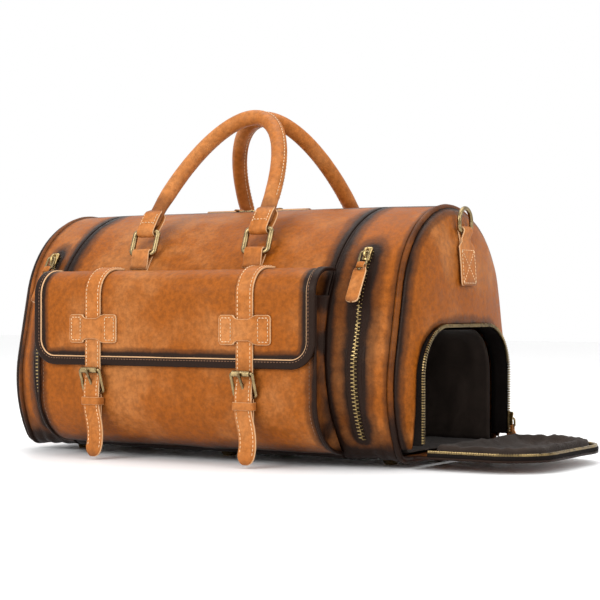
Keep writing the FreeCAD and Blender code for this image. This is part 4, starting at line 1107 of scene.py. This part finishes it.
def inside_edge(index, depth):
    """A point of the flap's face a given depth inside its edge line."""
    x, run = edge_line[index]
    xa, ra = edge_line[max(0, index - 1)]
    xb, rb = edge_line[min(len(edge_line) - 1, index + 1)]
    along = Vector((xb - xa, rb - ra, 0)).normalized()
    return x + along.y * depth, run - along.x * depth


grid, shades, cuts = [], [], []
for depth, lift, cut in ((0.0, -2.4, 0.0), (-0.6, -1.4, 0.0), (-0.6, 0.2, 0.0), (0.0, 0.9, 0.0),
                         (0.9, 1.1, 0.0), (BINDING / 2, 1.25, 0.0), (BINDING - 1.6, 1.25, 0.0),
                         (BINDING - 1.0, 1.1, 0.8), (BINDING, 0.1, 0.8)):
    row = []
    for i in range(len(edge_line)):
        x, run = inside_edge(i, depth)
        row.append(flap_point(run, x, lift)[0])
    grid.append(row)
    shades.append([0.95] * len(row))
    cuts.append([cut] * len(row))
binding = leather_sheet("flap_binding_strip", grid, shades, 0.5, cut=cuts)
finish_piece(binding, "flap", BODY_LEATHER, "dark_leather", "flap_binding")
spots = [inside_edge(i, BINDING - BINDING_STITCH) for i in range(len(edge_line))]
rows = [([flap_point(run, x, 1.5)[0] for x, run in spots], [flap_point(run, x)[1] for x, run in spots])]
sew("flap_binding_stitches", "flap", rows, BROWN_THREAD, pitch=4.0, stitch=2.6, radius=0.4)

# ------------------------------------------------------------------ straps and keepers
# Two straps are sewn along the flap's top and hang free below its edge. Each runs under a
# bow-tie shaped keeper, through the buckle and its loop, and ends in a rounded tip.
roller_place, bar_place = joint_place["roller_right_spin"], joint_place["prong_right_lift"]
STRAP_TIP, STRAP_STITCH, TIP_ROUND = 4.2, 8.3, 11.0


def smooth_path(points, rounds=3):
    """Corner cutting: a soft path near its points, with the same two ends."""
    for _ in range(rounds):
        cut = [points[0]]
        for a, b in zip(points, points[1:]):
            cut += [a.lerp(b, 0.25), a.lerp(b, 0.75)]
        points = cut + [points[-1]]
    return points


def strap_path(end):
    """Middle of a strap, down over the flap, through the buckle and out to its loose tip."""
    x = end * STRAP_X
    lift = STRAP_THICK / 2
    upper = [flap_point(run, x, lift)[0] for run in spread(1.5, FLAP_RUN + 2, 60)]
    tail_y = bar_place.y - 2.0 - 1.2 - 0.3 - lift
    lower = [(FLAP_FRONT - lift, roller_place.z), (FLAP_FRONT - lift + 0.2, roller_place.z - 6),
             (tail_y + 0.3, bar_place.z + 6), (tail_y, bar_place.z - 3), (tail_y, bar_place.z - 20),
             (tail_y - 0.6, 40), (tail_y - 2.2, 20), (tail_y - 4.0, STRAP_TIP)]
    lower = [Vector((x + 8.0 * smooth_step(60, 30, z) - 5.0 * smooth_step(22, 4, z), y, z))
             for y, z in lower]
    return upper[:-1] + smooth_path([upper[-1]] + lower)


for end in (-1, 1):
    word = end_word(end)
    path = strap_path(end)
    outs = [ALONG.cross(run_at(path, i)).normalized() for i in range(len(path))]
    outs = [out if out.dot(Vector((0, -1, 0.6))) > 0 else -out for out in outs]
    total, run, halves = path_length(path), 0.0, []
    for i, here in enumerate(path):
        run += (here - path[i - 1]).length if i else 0.0
        left = total - run
        halves.append(STRAP_HALF * math.sqrt(max(0.02, 1 - max(0.0, 1 - left / TIP_ROUND) ** 2)))
    strap = strap_piece(f"strap_{word}", path, outs, STRAP_HALF, STRAP_THICK, halves=halves, dark_ends=0.35)
    finish_piece(strap, "flap", STRAP_LEATHER, "strap_leather", "straps")
    keep_to = next(i for i, p in enumerate(path) if p.z < STRAP_TIP + 9)
    rows = [offset_row(path[1:keep_to], outs[1:keep_to], aside, STRAP_THICK / 2 + 0.12)
            for aside in (-STRAP_STITCH, STRAP_STITCH)]
    sew(f"strap_{word}_stitches", "flap", rows)

KEEPER_HIGH, KEEPER_WAIST, KEEPER_HALF, KEEPER_Z, KEEPER_ROUND = 16.5, 12.0, 34.0, 152.0, 4
KEEPER_THICK, BOX_IN, BOX_OUT = 2.2, 18, 31


def keeper_spot(end, x, share, lift=0.0):
    """Point of a keeper's face at x beside the strap; share runs from its low edge to its high one."""
    tall = KEEPER_WAIST + (KEEPER_HIGH - KEEPER_WAIST) * smooth_step(7, 17, abs(x))
    corner = max(0.0, 1 - (KEEPER_HALF - abs(x)) / KEEPER_ROUND)
    tall -= KEEPER_ROUND * (1 - math.sqrt(1 - corner ** 2))
    over = (STRAP_THICK + 0.5) * (1 - smooth_step(11.5, 17.5, abs(x)))
    return Vector((end * STRAP_X + x, FLAP_FRONT - over - 0.2 - KEEPER_THICK - lift, KEEPER_Z + tall * share))


for end in (-1, 1):
    word = end_word(end)
    grid, shades, cuts = [], [], []
    columns = [-KEEPER_HALF, -KEEPER_HALF + 0.8] + spread(-KEEPER_HALF + 2.5, KEEPER_HALF - 2.5, 50) + \
              [KEEPER_HALF - 0.8, KEEPER_HALF]
    shares = [-1.0, -0.95] + spread(-0.85, 0.85, 10) + [0.95, 1.0]
    for share in shares:
        grid.append([keeper_spot(end, x, share) for x in columns])
        shades.append([0.25 * dark_edge(min(KEEPER_HALF - abs(x), 12 * (1 - abs(share))), 5)
                       for x in columns])
        cuts.append([1.0 if abs(share) == 1 or abs(x) == KEEPER_HALF else 0.0 for x in columns])
    keeper = leather_sheet(f"strap_keeper_{word}", grid, shades, KEEPER_THICK, cut=cuts)
    finish_piece(keeper, "flap", STRAP_LEATHER, "strap_leather", "strap_keepers")
    rows = []
    for side in (-1, 1):
        for share in (-0.80, 0.80):
            rows.append(([keeper_spot(end, side * x, share, 0.3) for x in spread(BOX_IN, BOX_OUT, 12)],
                         [FORWARD] * 12))
        for x in (BOX_IN, BOX_OUT):
            rows.append(([keeper_spot(end, side * x, share, 0.3) for share in spread(-0.78, 0.78, 8)],
                         [FORWARD] * 8))
    sew(f"strap_keeper_{word}_stitches", "flap", rows, pitch=4.0, stitch=2.8)

# ------------------------------------------------------------------ buckles
# Roller buckles: frames, rollers and prongs are brass castings. A short strap holds each frame,
# carries a fixed loop for the long strap, and snaps to the pocket behind.
CHAPE_THICK, CHAPE_LONG, CUFF_SIDES, LOOP_ROUND = 2.2, 29, 14, 3
for end in (-1, 1):
    word = end_word(end)
    bar = Vector((end * STRAP_X, bar_place.y, bar_place.z))
    path = [Vector((bar.x, bar.y + 0.1, z)) for z in spread(bar.z - CHAPE_LONG, bar.z - 3.2, 12)]
    outs = [FORWARD] * len(path)
    chape = strap_piece(f"buckle_chape_{word}", path, outs, STRAP_HALF - 0.2, CHAPE_THICK, dark_ends=0.4)
    finish_piece(chape, "flap", STRAP_LEATHER, "strap_leather", "buckle_chapes")
    for side in (-1, 1):
        wrap = [Vector((0, y, z)) for y, z in round_profile(1.0, CUFF_SIDES)]
        points = []
        for x in (3.4, 4.0, 10.2, 10.8):
            fat = 3.15 if x in (4.0, 10.2) else 2.9
            points += [bar + Vector((side * x, 0, 0)) + w * fat for w in wrap]
        cut = [1.0] * CUFF_SIDES + [0.0] * (2 * CUFF_SIDES) + [1.0] * CUFF_SIDES
        cuff = make_mesh(f"buckle_cuff_{word}_{'a' if side < 0 else 'b'}", points,
                         sheet_faces(4, CUFF_SIDES, True), {"burnish_and_shade": [0.2] * len(points), "cut_edge": cut})
        finish_piece(cuff, "flap", STRAP_LEATHER, "strap_leather", "buckle_chapes")
    back, front = bar.y + 2.4, bar.y - 3.5 - STRAP_THICK - 1.4
    wide = STRAP_HALF + 1.6
    corners = [Vector((x, y, 0)) for x, y in ((-wide, back), (wide, back), (wide, front), (-wide, front))]
    loop = []
    for i in range(4):
        here, before, after = corners[i], corners[i - 1], corners[(i + 1) % 4]
        a, b = (before - here).normalized(), (after - here).normalized()
        loop += [here + a * LOOP_ROUND * (1 - s) ** 2 + b * LOOP_ROUND * s ** 2 for s in spread(0, 1, 5)]
    loop = [p + Vector((bar.x, 0, bar.z - 11)) for p in loop]
    center = sum(loop, Vector()) / len(loop)
    points, cut = strap_profile(4.4, 1.9, 0.5, 0.15)
    outs = [Vector((p.x - center.x, p.y - center.y, 0)).normalized() for p in loop]
    ring = sweep(f"strap_loop_{word}", loop, outs, [points] * len(loop), closed=True,
                 marks={"cut_edge": cut * len(loop), "burnish_and_shade": [0.1] * len(points) * len(loop)})
    finish_piece(ring, "flap", STRAP_LEATHER, "strap_leather", "strap_loops")


# ------------------------------------------------------------------ zips
# Brass zips on dark woven tape: a long one over the top, and one in each front band with a turned
# leather lip round it. Every tooth is a small stamping on one side or the other.
TAPE_TOP, TOP_ZIP_HALF, TOP_TAPE_HALF, TAPE_THICK = 286.4, 243.0, 17.5, 0.9
SIDE_TAPE_HALF, SIDE_LIP, SIDE_STITCH, SIDE_END = 8.4, 8.9, 12.6, 7.5
side_turn = math.radians(60.25)
SIDE_AWAY = Vector((0, -math.cos(side_turn), -math.sin(side_turn)))
SIDE_OUT = Vector((0, -math.sin(side_turn), math.cos(side_turn)))


def zip_tape(name, body, grid, flip, *nodes):
    """Woven tape over a grid of points, which stand higher along the cords beside the teeth."""
    return finish_piece(woven_sheet(name, grid, TAPE_THICK, flip), body, ZIP_CLOTH, "zip_cloth", *nodes)


def tape_cord(across, place, wide, tall):
    """Height of the cords woven into a tape at a distance each side of its middle."""
    return tall * math.exp(-((abs(across) - place) / wide) ** 2)


def zip_teeth(name, body, path, outs, reach, height, pitch, sides, *nodes):
    """Teeth along a path, standing on the sides given by turns (1, -1), (1,) or (-1,)."""
    points, faces = [], []
    total = path_length(path)
    count = int(total / pitch)
    for i in range(count):
        here, along, index, share = along_path(path, (i + 0.5) * total / count)
        out = outs[index].lerp(outs[index + 1], share).normalized()
        across = along.cross(out).normalized() * sides[i % len(sides)]
        first = len(points)
        half = pitch * 0.36
        for lift, inset in ((0.0, 0.0), (height * 0.7, 0.0), (height, 0.32)):
            for a, b in ((-1, 0), (1, 0), (1, 1), (-1, 1)):
                wide = half * (1.25 - 0.45 * b) - inset * 0.6
                reach_here = -0.7 + inset if b == 0 else reach - inset
                points.append(here + along * (a * wide) + across * reach_here + out * lift)
        for ring in (0, 4):
            faces += [(first + ring + c, first + ring + (c + 1) % 4,
                       first + ring + 4 + (c + 1) % 4, first + ring + 4 + c) for c in range(4)]
        faces.append((first + 8, first + 9, first + 10, first + 11))
        faces.append((first + 3, first + 2, first + 1, first))
    return finish_piece(make_mesh(name, points, faces, smooth=False), body, ZIP_BRASS, "zip_brass", *nodes)


grid = [[Vector((x, y, TAPE_TOP + tape_cord(y, 4.2, 0.9, 0.5)))
         for y in spread(-TOP_TAPE_HALF, TOP_TAPE_HALF, 36)]
        for x in spread(-TOP_ZIP_HALF - 4, TOP_ZIP_HALF + 4, 40)]
zip_tape("top_zip_tape_cloth", "bag", grid, False, "top_zip_tape")
path = [Vector((x, 0, TAPE_TOP - 0.1)) for x in spread(-TOP_ZIP_HALF, TOP_ZIP_HALF, 60)]
zip_teeth("top_zip_teeth", "bag", path, [UPWARD] * 60, 3.1, 2.4, 1.55, (1, -1), "zip_teeth")

LIP_SHAPE = [(-2.7, -1.4), (-2.4, 0.5), (-1.3, 1.35), (0, 1.6), (1.3, 1.35), (2.4, 0.4), (3.0, -1.4),
             (0, -1.8)]
for end in (-1, 1):
    word = end_word(end)
    x = end * SIDE_ZIP_X
    stations = spread(wall_turn(x, SIDE_ZIP_LOW - 0.5, -1), wall_turn(x, SIDE_ZIP_HIGH + 0.5, -1), 60)
    grid = [[wall_point(x + dx, t, -1, 1.1 + tape_cord(dx, 4.9, 0.7, 0.4))
             for dx in spread(-SIDE_TAPE_HALF, SIDE_TAPE_HALF, 22)] for t in stations]
    zip_tape(f"side_zip_tape_{word}", "bag", grid, False, "side_zip_tapes")
    path, outs = wall_row(x, -1, wall_turn(x, SIDE_ZIP_LOW + 4, -1), wall_turn(x, SIDE_ZIP_HIGH - 4, -1),
                          1.1, 120)
    zip_teeth(f"side_zip_teeth_{word}", "bag", path, outs, 4.0, 2.1, 2.1, (1, -1), "zip_teeth")
    lip, outs = [], []
    mid_low, mid_high = SIDE_ZIP_LOW + SIDE_END, SIDE_ZIP_HIGH - SIDE_END
    bend = [(SIDE_LIP * math.cos(a), SIDE_LIP * math.sin(a)) for a in spread(0.2, math.pi - 0.2, 12)]
    around = [(SIDE_LIP, z) for z in spread(mid_low, mid_high, 60)]
    around += [(a, mid_high + b) for a, b in bend]
    around += [(-SIDE_LIP, z) for z in spread(mid_high, mid_low, 60)]
    around += [(-a, mid_low - b) for a, b in bend]
    stitch_path = []
    for dx, z in around:
        t = wall_turn(x + dx, z, -1)
        lip.append(wall_point(x + dx, t, -1, 0.4))
        outs.append((wall_point(x + dx, t, -1, 2) - wall_point(x + dx, t, -1, 1)).normalized())
        far = SIDE_STITCH / SIDE_LIP
        over = z - min(max(z, mid_low), mid_high)
        stitch_path.append(wall_height(x + dx * far, z - over + over * far, -1, 0.5))
    ring = sweep(f"side_zip_lip_{word}", lip, outs, [LIP_SHAPE] * len(lip), closed=True,
                 marks={"burnish_and_shade": [0.75] * len(LIP_SHAPE) * len(lip)})
    finish_piece(ring, "bag", BODY_LEATHER, "body_leather")
    sew(f"side_zip_stitches_{word}", "bag", [(stitch_path + stitch_path[:1], outs + outs[:1])], BROWN_THREAD,
        radius=0.4)

# ------------------------------------------------------------------ zip sliders and pulls
# Each slider is a brass casting with skirts over the teeth and a bridge on top. A wire link
# hangs from the bridge and holds a riveted leather pull.


BRIDGE_SHAPE = [(-1.5, -0.5), (-1.5, 0.4), (-1.0, 0.75), (1.0, 0.75), (1.5, 0.4), (1.5, -0.5), (1.0, -0.75),
                (-1.0, -0.75)]
CHAIN_BELOW_PIVOT = 5.6


def zip_slider(name, body, node, center, along, out, length=17.0, half=5.8, skirt=-1.9):
    """Slider whose chain top is at center; along is the way it runs."""
    path = [center + along * (length * s) for s in (-0.5, -0.46, -0.3, -0.1, 0.15, 0.36, 0.47, 0.5)]
    widths = [half * w for w in (0.70, 0.82, 0.86, 0.80, 0.90, 1.0, 0.96, 0.84)]
    tops = (1.6, 2.1, 2.3, 2.3, 2.3, 2.3, 2.1, 1.6)
    profiles = []
    for w, top in zip(widths, tops):
        profiles.append([(-w, skirt), (-w, top - 1.0), (-w + 0.9, top), (0, top + 0.2), (w - 0.9, top),
                         (w, top - 1.0), (w, skirt), (w - 0.9, skirt), (w - 0.9, 0.45), (0, 0.5),
                         (-w + 0.9, 0.45), (-w + 0.9, skirt)])
    plate = sweep(name + "_plate", path, [out] * len(path), profiles)
    finish_piece(plate, body, ZIP_BRASS, "zip_brass", node)
    arch = [center + along * (5.6 * math.cos(a)) + out * (1.6 + 5.4 * max(0.0, math.sin(a)) ** 0.6)
            for a in spread(0.0, math.pi, 17)]
    outs = [(p - center - out * 0.5).normalized() for p in arch]
    bridge = sweep(name + "_bridge", arch, outs, [BRIDGE_SHAPE] * len(arch))
    finish_piece(bridge, body, ZIP_BRASS, "zip_brass")


def pull_tab(name, body, node, pivot, away, out, reach=17.4, length=46.0, half=8.0, thick=3.0):
    """Leather pull whose top edge is reach from the pivot; it is folded round the wire link."""
    bar = pivot + away * (reach - 1.4)
    places = spread(reach + 2.5, reach + length - 6, 18)
    places += [reach + length - 6 * (1 - math.sin(a)) for a in spread(0.15, math.pi / 2, 9)]

    def half_at(place):
        left = max(0.0, 1 - (reach + length - place) / 6)
        neck = half * 0.68 + half * 0.32 * smooth_step(1, 7, place - reach)
        return neck * max(0.02, 1 - left ** 3.2) ** 0.4

    path = [pivot + away * place for place in places]
    tab = strap_piece(name + "_leather", path, [out] * len(path), half, thick,
                      halves=[half_at(p) for p in places], dark_ends=0.35)
    finish_piece(tab, body, STRAP_LEATHER, "strap_leather", node)
    fold_path = u_turn(bar, out, away, 2.2, thick / 2 + 0.4, 8.5, 8.5)
    fold = strap_piece(name + "_fold", fold_path, outward(fold_path, bar + away * 4), half * 0.62, 1.4,
                       dark_ends=0.3)
    finish_piece(fold, body, STRAP_LEATHER, "strap_leather")
    tall = thick / 2 + 1.9
    rivet_path = [bar + away * 6.2 + out * h for h in (-tall, -tall + 0.6, tall - 0.6, tall)]
    rivet = sweep(name + "_rivet", rivet_path, [away] * 4,
                  [round_profile(r, 16) for r in (1.7, 2.7, 2.7, 1.7)])
    finish_piece(rivet, body, ANTIQUE_BRASS, "antique_brass")


for end in (-1, 1):
    word = end_word(end)
    pivot = joint_place[f"top_pull_{word}_lift"]
    zip_slider(f"top_slider_{word}", f"top_zip_slider_{word}", f"top_slider_{word}",
               pivot - UPWARD * CHAIN_BELOW_PIVOT, ALONG * end, UPWARD)
    pull_tab(f"top_pull_{word}", f"top_zip_pull_{word}", f"top_pull_tab_{word}", pivot, ALONG * end, UPWARD)
    pivot = joint_place[f"side_pull_{word}_lift"]
    zip_slider(f"side_slider_{word}", f"side_zip_slider_{word}", f"side_slider_{word}",
               pivot - SIDE_OUT * CHAIN_BELOW_PIVOT, -SIDE_AWAY, SIDE_OUT, half=5.4)
    pull_tab(f"side_pull_{word}", f"side_zip_pull_{word}", f"side_pull_tab_{word}", pivot, SIDE_AWAY,
             SIDE_OUT)

# ------------------------------------------------------------------ shoulder strap tabs
# A doubled leather tab at the top of each end, sewn with a box and a cross, whose narrow neck
# wraps the straight side of the brass D-ring.
D_RING_BAR, TAB_FOOT, TAB_SHOULDER, TAB_WIDE, NECK = 2.5, 200.5, 246.0, 18.6, 10.6
NECK_END, RING_TOP_POINT = 23, 16
BOX_AND_CROSS = (((-1, 0), (1, 0)), ((-1, 1), (1, 1)), ((-1, 0), (-1, 1)), ((1, 0), (1, 1)),
                 ((-1, 0), (1, 1)), ((1, 0), (-1, 1)))


def tab_level(end, z, lift):
    """Point of an end tab's middle, lifted off the end panel."""
    return Vector((end * (dome_out(0, z) + lift), 0, z))


for end in (-1, 1):
    word = end_word(end)
    pivot = joint_place[f"d_ring_{word}_swing"]
    radius = D_RING_BAR + 1.5
    path = [tab_level(end, z, 1.3) for z in spread(226, 256, 10)]
    path += [pivot + Vector((-end * radius * math.cos(a), 0, radius * math.sin(a)))
             for a in spread(0.0, math.pi, 13)]
    path += [tab_level(end, z, 3.8) for z in [255, 251] + spread(248.5, TAB_FOOT + 1, 24)]
    outs = [run_at(path, i).cross(Vector((0, -end, 0))).normalized() for i in range(len(path))]
    if (path[RING_TOP_POINT] - pivot).dot(outs[RING_TOP_POINT]) <= 0:
        outs = [-out for out in outs]
    halves = []
    for i, here in enumerate(path):
        wide = NECK + (TAB_WIDE - NECK) * smooth_step(252, TAB_SHOULDER, here.z) if i > NECK_END else NECK
        foot = max(0.0, 1 - (here.z - TAB_FOOT) / 5) if i > NECK_END else 0.0
        halves.append(wide - 5 * (1 - math.sqrt(max(0.0, 1 - foot ** 2))))
    tab = strap_piece(f"d_ring_tab_{word}_leather", path, outs, TAB_WIDE, 2.5, halves=halves, dark_ends=0.35)
    finish_piece(tab, "bag", STRAP_LEATHER, "strap_leather", "d_ring_tabs")
    corner = (TAB_WIDE - 3.0, TAB_FOOT + 4.0, TAB_SHOULDER - 4.0)
    rows = []
    for a, b in BOX_AND_CROSS:
        line = []
        for share in spread(0.0, 1.0, 16):
            y = corner[0] * (a[0] + (b[0] - a[0]) * share)
            z = corner[1] + (corner[2] - corner[1]) * (a[1] + (b[1] - a[1]) * share)
            line.append(tab_level(end, z, 5.25) + Vector((0, y, 0)))
        rows.append((line, [Vector((end, 0, 0.12))] * 16))
    sew(f"d_ring_tab_{word}_stitches", "bag", rows, pitch=4.0, stitch=2.8)

# ------------------------------------------------------------------ shoe compartment zip and flap
# The end opens on a flap hinged at the floor. Zip tape and brass teeth run round the arch and
# round the flap, and a creased dark lining is sewn to the flap's inner side.
FLAP_HINGE = Vector((285.0, 0, 24.0))
RIM_X, FLAP_GROW, FLOOR_LIFT, RIM_STEPS = 284.2, 2.5, 15.0, 150
SHOE_TOOTH_REACH, SHOE_TOOTH_PITCH = 3.4, 2.9
grid = [[Vector((x, y, z)) for y, z in arch_line(grow, 26.0, RIM_STEPS)]
        for x, grow in ((DOME_X - 0.5, 0.9), (270, 0.8), (277, 0.7), (RIM_X - 1, 0.9), (RIM_X, 1.2))]
zip_tape("shoe_zip_tape_cloth", "bag", grid, True, "shoe_zip_tape")
rim_path = [Vector((RIM_X, y, z)) for y, z in arch_line(0.7, 28.0, RIM_STEPS)]
zip_teeth("shoe_arch_teeth", "bag", rim_path, [ALONG] * RIM_STEPS, SHOE_TOOTH_REACH, 2.4, SHOE_TOOTH_PITCH,
          (1,), "shoe_zip_teeth")


def lay_open(y, z, lift):
    """Where a point of the closed flap lies when the flap is down; lift is above the leather."""
    return Vector((FLAP_HINGE.x + z - FLAP_HINGE.z, y, FLOOR_LIFT + lift))


def flap_half_at(z, grow):
    """Half width of the shoe flap at a height of the closed flap."""
    bend, top = SHOE_ROUND + grow, SHOE_TOP + grow
    rest = z - (top - bend)
    if rest <= 0:
        return SHOE_HALF + grow
    return SHOE_HALF + grow - bend + math.sqrt(max(0.0, bend ** 2 - rest ** 2))


grid, shades = [], []
top = SHOE_TOP + FLAP_GROW
levels = spread(12.5, top - SHOE_ROUND - FLAP_GROW, 24)
levels += [top - (SHOE_ROUND + FLAP_GROW) * (1 - math.sin(a)) for a in spread(0.08, math.pi / 2, 18)]
for z in levels:
    half = flap_half_at(z, FLAP_GROW)
    row = [lay_open(half * s, z, 0.35 * noise.noise(Vector((z, half * s, 0)) / 30) - 0.4)
           for s in spread(-1, 1, 50)]
    grid.append(row)
    shades.append([0.9 * dark_edge(min(half - abs(p.y), top - z), 20) + 0.2 for p in row])
skin = leather_sheet("shoe_flap_leather", grid, shades, 2.6, flip=True)
finish_piece(skin, "shoe_flap", BODY_LEATHER, "body_leather", "shoe_flap_panel")
FOLDED_TAPE = [(-1.7, -2.0), (-1.9, 0.0), (-1.5, 2.0), (1.4, 2.0), (1.8, 0.0), (1.6, -2.0)]
rim_points = [lay_open(y, z, 0.0) for y, z in arch_line(0.8, 29.0, RIM_STEPS)]
lip = sweep("shoe_flap_zip_tape", [p + UPWARD * 1.9 for p in rim_points], [UPWARD] * RIM_STEPS,
            [FOLDED_TAPE] * RIM_STEPS)
finish_piece(lip, "shoe_flap", ZIP_CLOTH, "zip_cloth")
zip_teeth("shoe_flap_rim_teeth", "shoe_flap", [p + UPWARD * 3.9 for p in rim_points], [UPWARD] * RIM_STEPS,
          SHOE_TOOTH_REACH, 2.6, SHOE_TOOTH_PITCH, (1,), "shoe_flap_teeth")
stitches = [lay_open(y, z, -2.9) for y, z in arch_line(-2.5, 27.0, RIM_STEPS)]
sew("shoe_flap_stitches", "shoe_flap", [(stitches, [-UPWARD] * RIM_STEPS)], BROWN_THREAD, radius=0.38)


TRAY_FOOT = 27.0


def tray_loop(grow):
    """Closed loop (y, z) round the flap's lining, the same distance in from every side."""
    foot = TRAY_FOOT - grow
    line = arch_line(grow, foot, RIM_STEPS)
    return line + [(y, foot) for y in spread(line[-1][0], line[0][0], 42)[1:-1]]


CLOTH_EASE, PUFF_FROM, LEAST_LIFT, MIDDLE_LIFT = 6.0, 4, 0.8, 2.6
TRAY = ((-3.2, 1.6), (-5.5, 2.6), (-8.2, 5.0), (-8.8, 8.5), (-10.0, 11.5), (-13.0, 12.6), (-17.0, 11.0),
        (-21.0, 8.0), (-25.0, 5.6), (-30.0, 4.2), (-36.0, 3.4), (-43.0, 3.0), (-50.0, 3.0))
loops = []
for grow, lift in TRAY:
    loops.append([(y, z, lift) for y, z in tray_loop(grow)])
inner_loop = loops[-1]
tray_middle = (SHOE_TOP + TRAY_FOOT) / 2 + 4
for share in (0.86, 0.7, 0.54, 0.38, 0.22, 0.06):
    loops.append([(y * share, tray_middle + (z - tray_middle) * share, MIDDLE_LIFT)
                  for y, z, lift in inner_loop])
points = []
for ring, loop in enumerate(loops):
    for y, z, lift in loop:
        spot = Vector((z, y, 0))
        creases = noise.noise(Vector((z / 13, y / 16, ring * 0.12)))
        creases += 0.6 * noise.noise(Vector((z / 6, y / 7, 5)))
        amount = min(1.0, max(0.0, ring - 0.5) / 3)
        soft = 2.0 if lift > PUFF_FROM else 2.4
        slump = 1 - 0.28 * max(0.0, noise.noise(spot / 48 + Vector((2, 5, 0)))) * (lift > PUFF_FROM)
        points.append(lay_open(y + 1.2 * amount * noise.noise(spot / 9), z,
                               max(LEAST_LIFT, lift * slump + soft * amount * creases)))
faces = sheet_faces(len(loops), len(loops[0]), True)
faces.append(tuple((len(loops) - 1) * len(loops[0]) + c for c in range(len(loops[0]))))
tray = make_mesh("shoe_flap_lining_cloth", points, faces)
finish_piece(tray, "shoe_flap", LINING_CLOTH, "lining_cloth", "shoe_flap_lining")
tray_loop(TRAY[0][0])

shoe_pivot = joint_place["shoe_pull_lift"]
zip_slider("shoe_slider", "shoe_zip_slider", "shoe_slider", shoe_pivot + FORWARD * 5.5, UPWARD,
           -FORWARD, 16.0, skirt=0.35)
pull_tab("shoe_pull", "shoe_zip_pull", "shoe_pull_tab", shoe_pivot, Vector((0, 0.1, -1)).normalized(),
         Vector((0, 1, 0.1)).normalized(), 11.4, 24.0, 6.0, 2.6)

# ------------------------------------------------------------------ floor, light and camera
# Not part of the bag: a pale studio floor, three large soft lights and a white room. The camera
# stands low, off the bag's front right corner, and looks along the floor.
FLOOR_HALF_SIDE = 6000
floor_mesh = make_mesh("floor", [(a * FLOOR_HALF_SIDE, b * FLOOR_HALF_SIDE, 0)
                                 for a, b in ((-1, -1), (1, -1), (1, 1), (-1, 1))], [(0, 1, 2, 3)])
floor_mat, floor_shader, add, join = shader_parts("pale_floor")
floor_shader.inputs["Base Color"].default_value = (0.93, 0.93, 0.93, 1)
floor_shader.inputs["Roughness"].default_value = 0.35
floor_mesh.data.materials.append(floor_mat)


def soft_light(name, place, aim, width, height, power):
    """Large light at a place and aimed at a point, both in millimetres about the bag's middle."""
    lamp = bpy.data.lights.new(name, "AREA")
    lamp.shape = "RECTANGLE"
    lamp.size, lamp.size_y, lamp.energy = width, height, power
    holder = bpy.data.objects.new(name, lamp)
    bpy.context.scene.collection.objects.link(holder)
    holder.location = middle + Vector(place) / 1000
    direction = middle + Vector(aim) / 1000 - holder.location
    holder.rotation_euler = direction.to_track_quat("-Z", "Y").to_euler()


soft_light("front_window", (-500, -2300, 1300), (0, 0, 150), 1.6, 1.2, 42)
soft_light("right_window", (2300, -500, 1200), (100, 0, 130), 1.2, 1.4, 20)
soft_light("overhead", (0, 200, 2200), (0, 0, 0), 2.2, 1.6, 30)
world = bpy.data.worlds.new("studio")
bpy.context.scene.world = world
world.use_nodes = True
world.node_tree.nodes["Background"].inputs["Color"].default_value = (1, 1, 1, 1)
world.node_tree.nodes["Background"].inputs["Strength"].default_value = 1.0
bpy.context.scene.view_settings.view_transform = "Standard"

CAMERA_PLACE, CAMERA_LOOK = Vector((1140.8, -1749.3, 179.4)), Vector((-0.5257, 0.8507, 0.0030))
CAMERA_LENS = 101.9
eye = bpy.data.cameras.new("camera")
eye.lens, eye.sensor_width, eye.clip_end = CAMERA_LENS, 36, 50
camera = bpy.data.objects.new("camera", eye)
bpy.context.scene.collection.objects.link(camera)
camera.location = middle + CAMERA_PLACE / 1000
camera.rotation_euler = CAMERA_LOOK.to_track_quat("-Z", "Y").to_euler()
bpy.context.scene.camera = camera
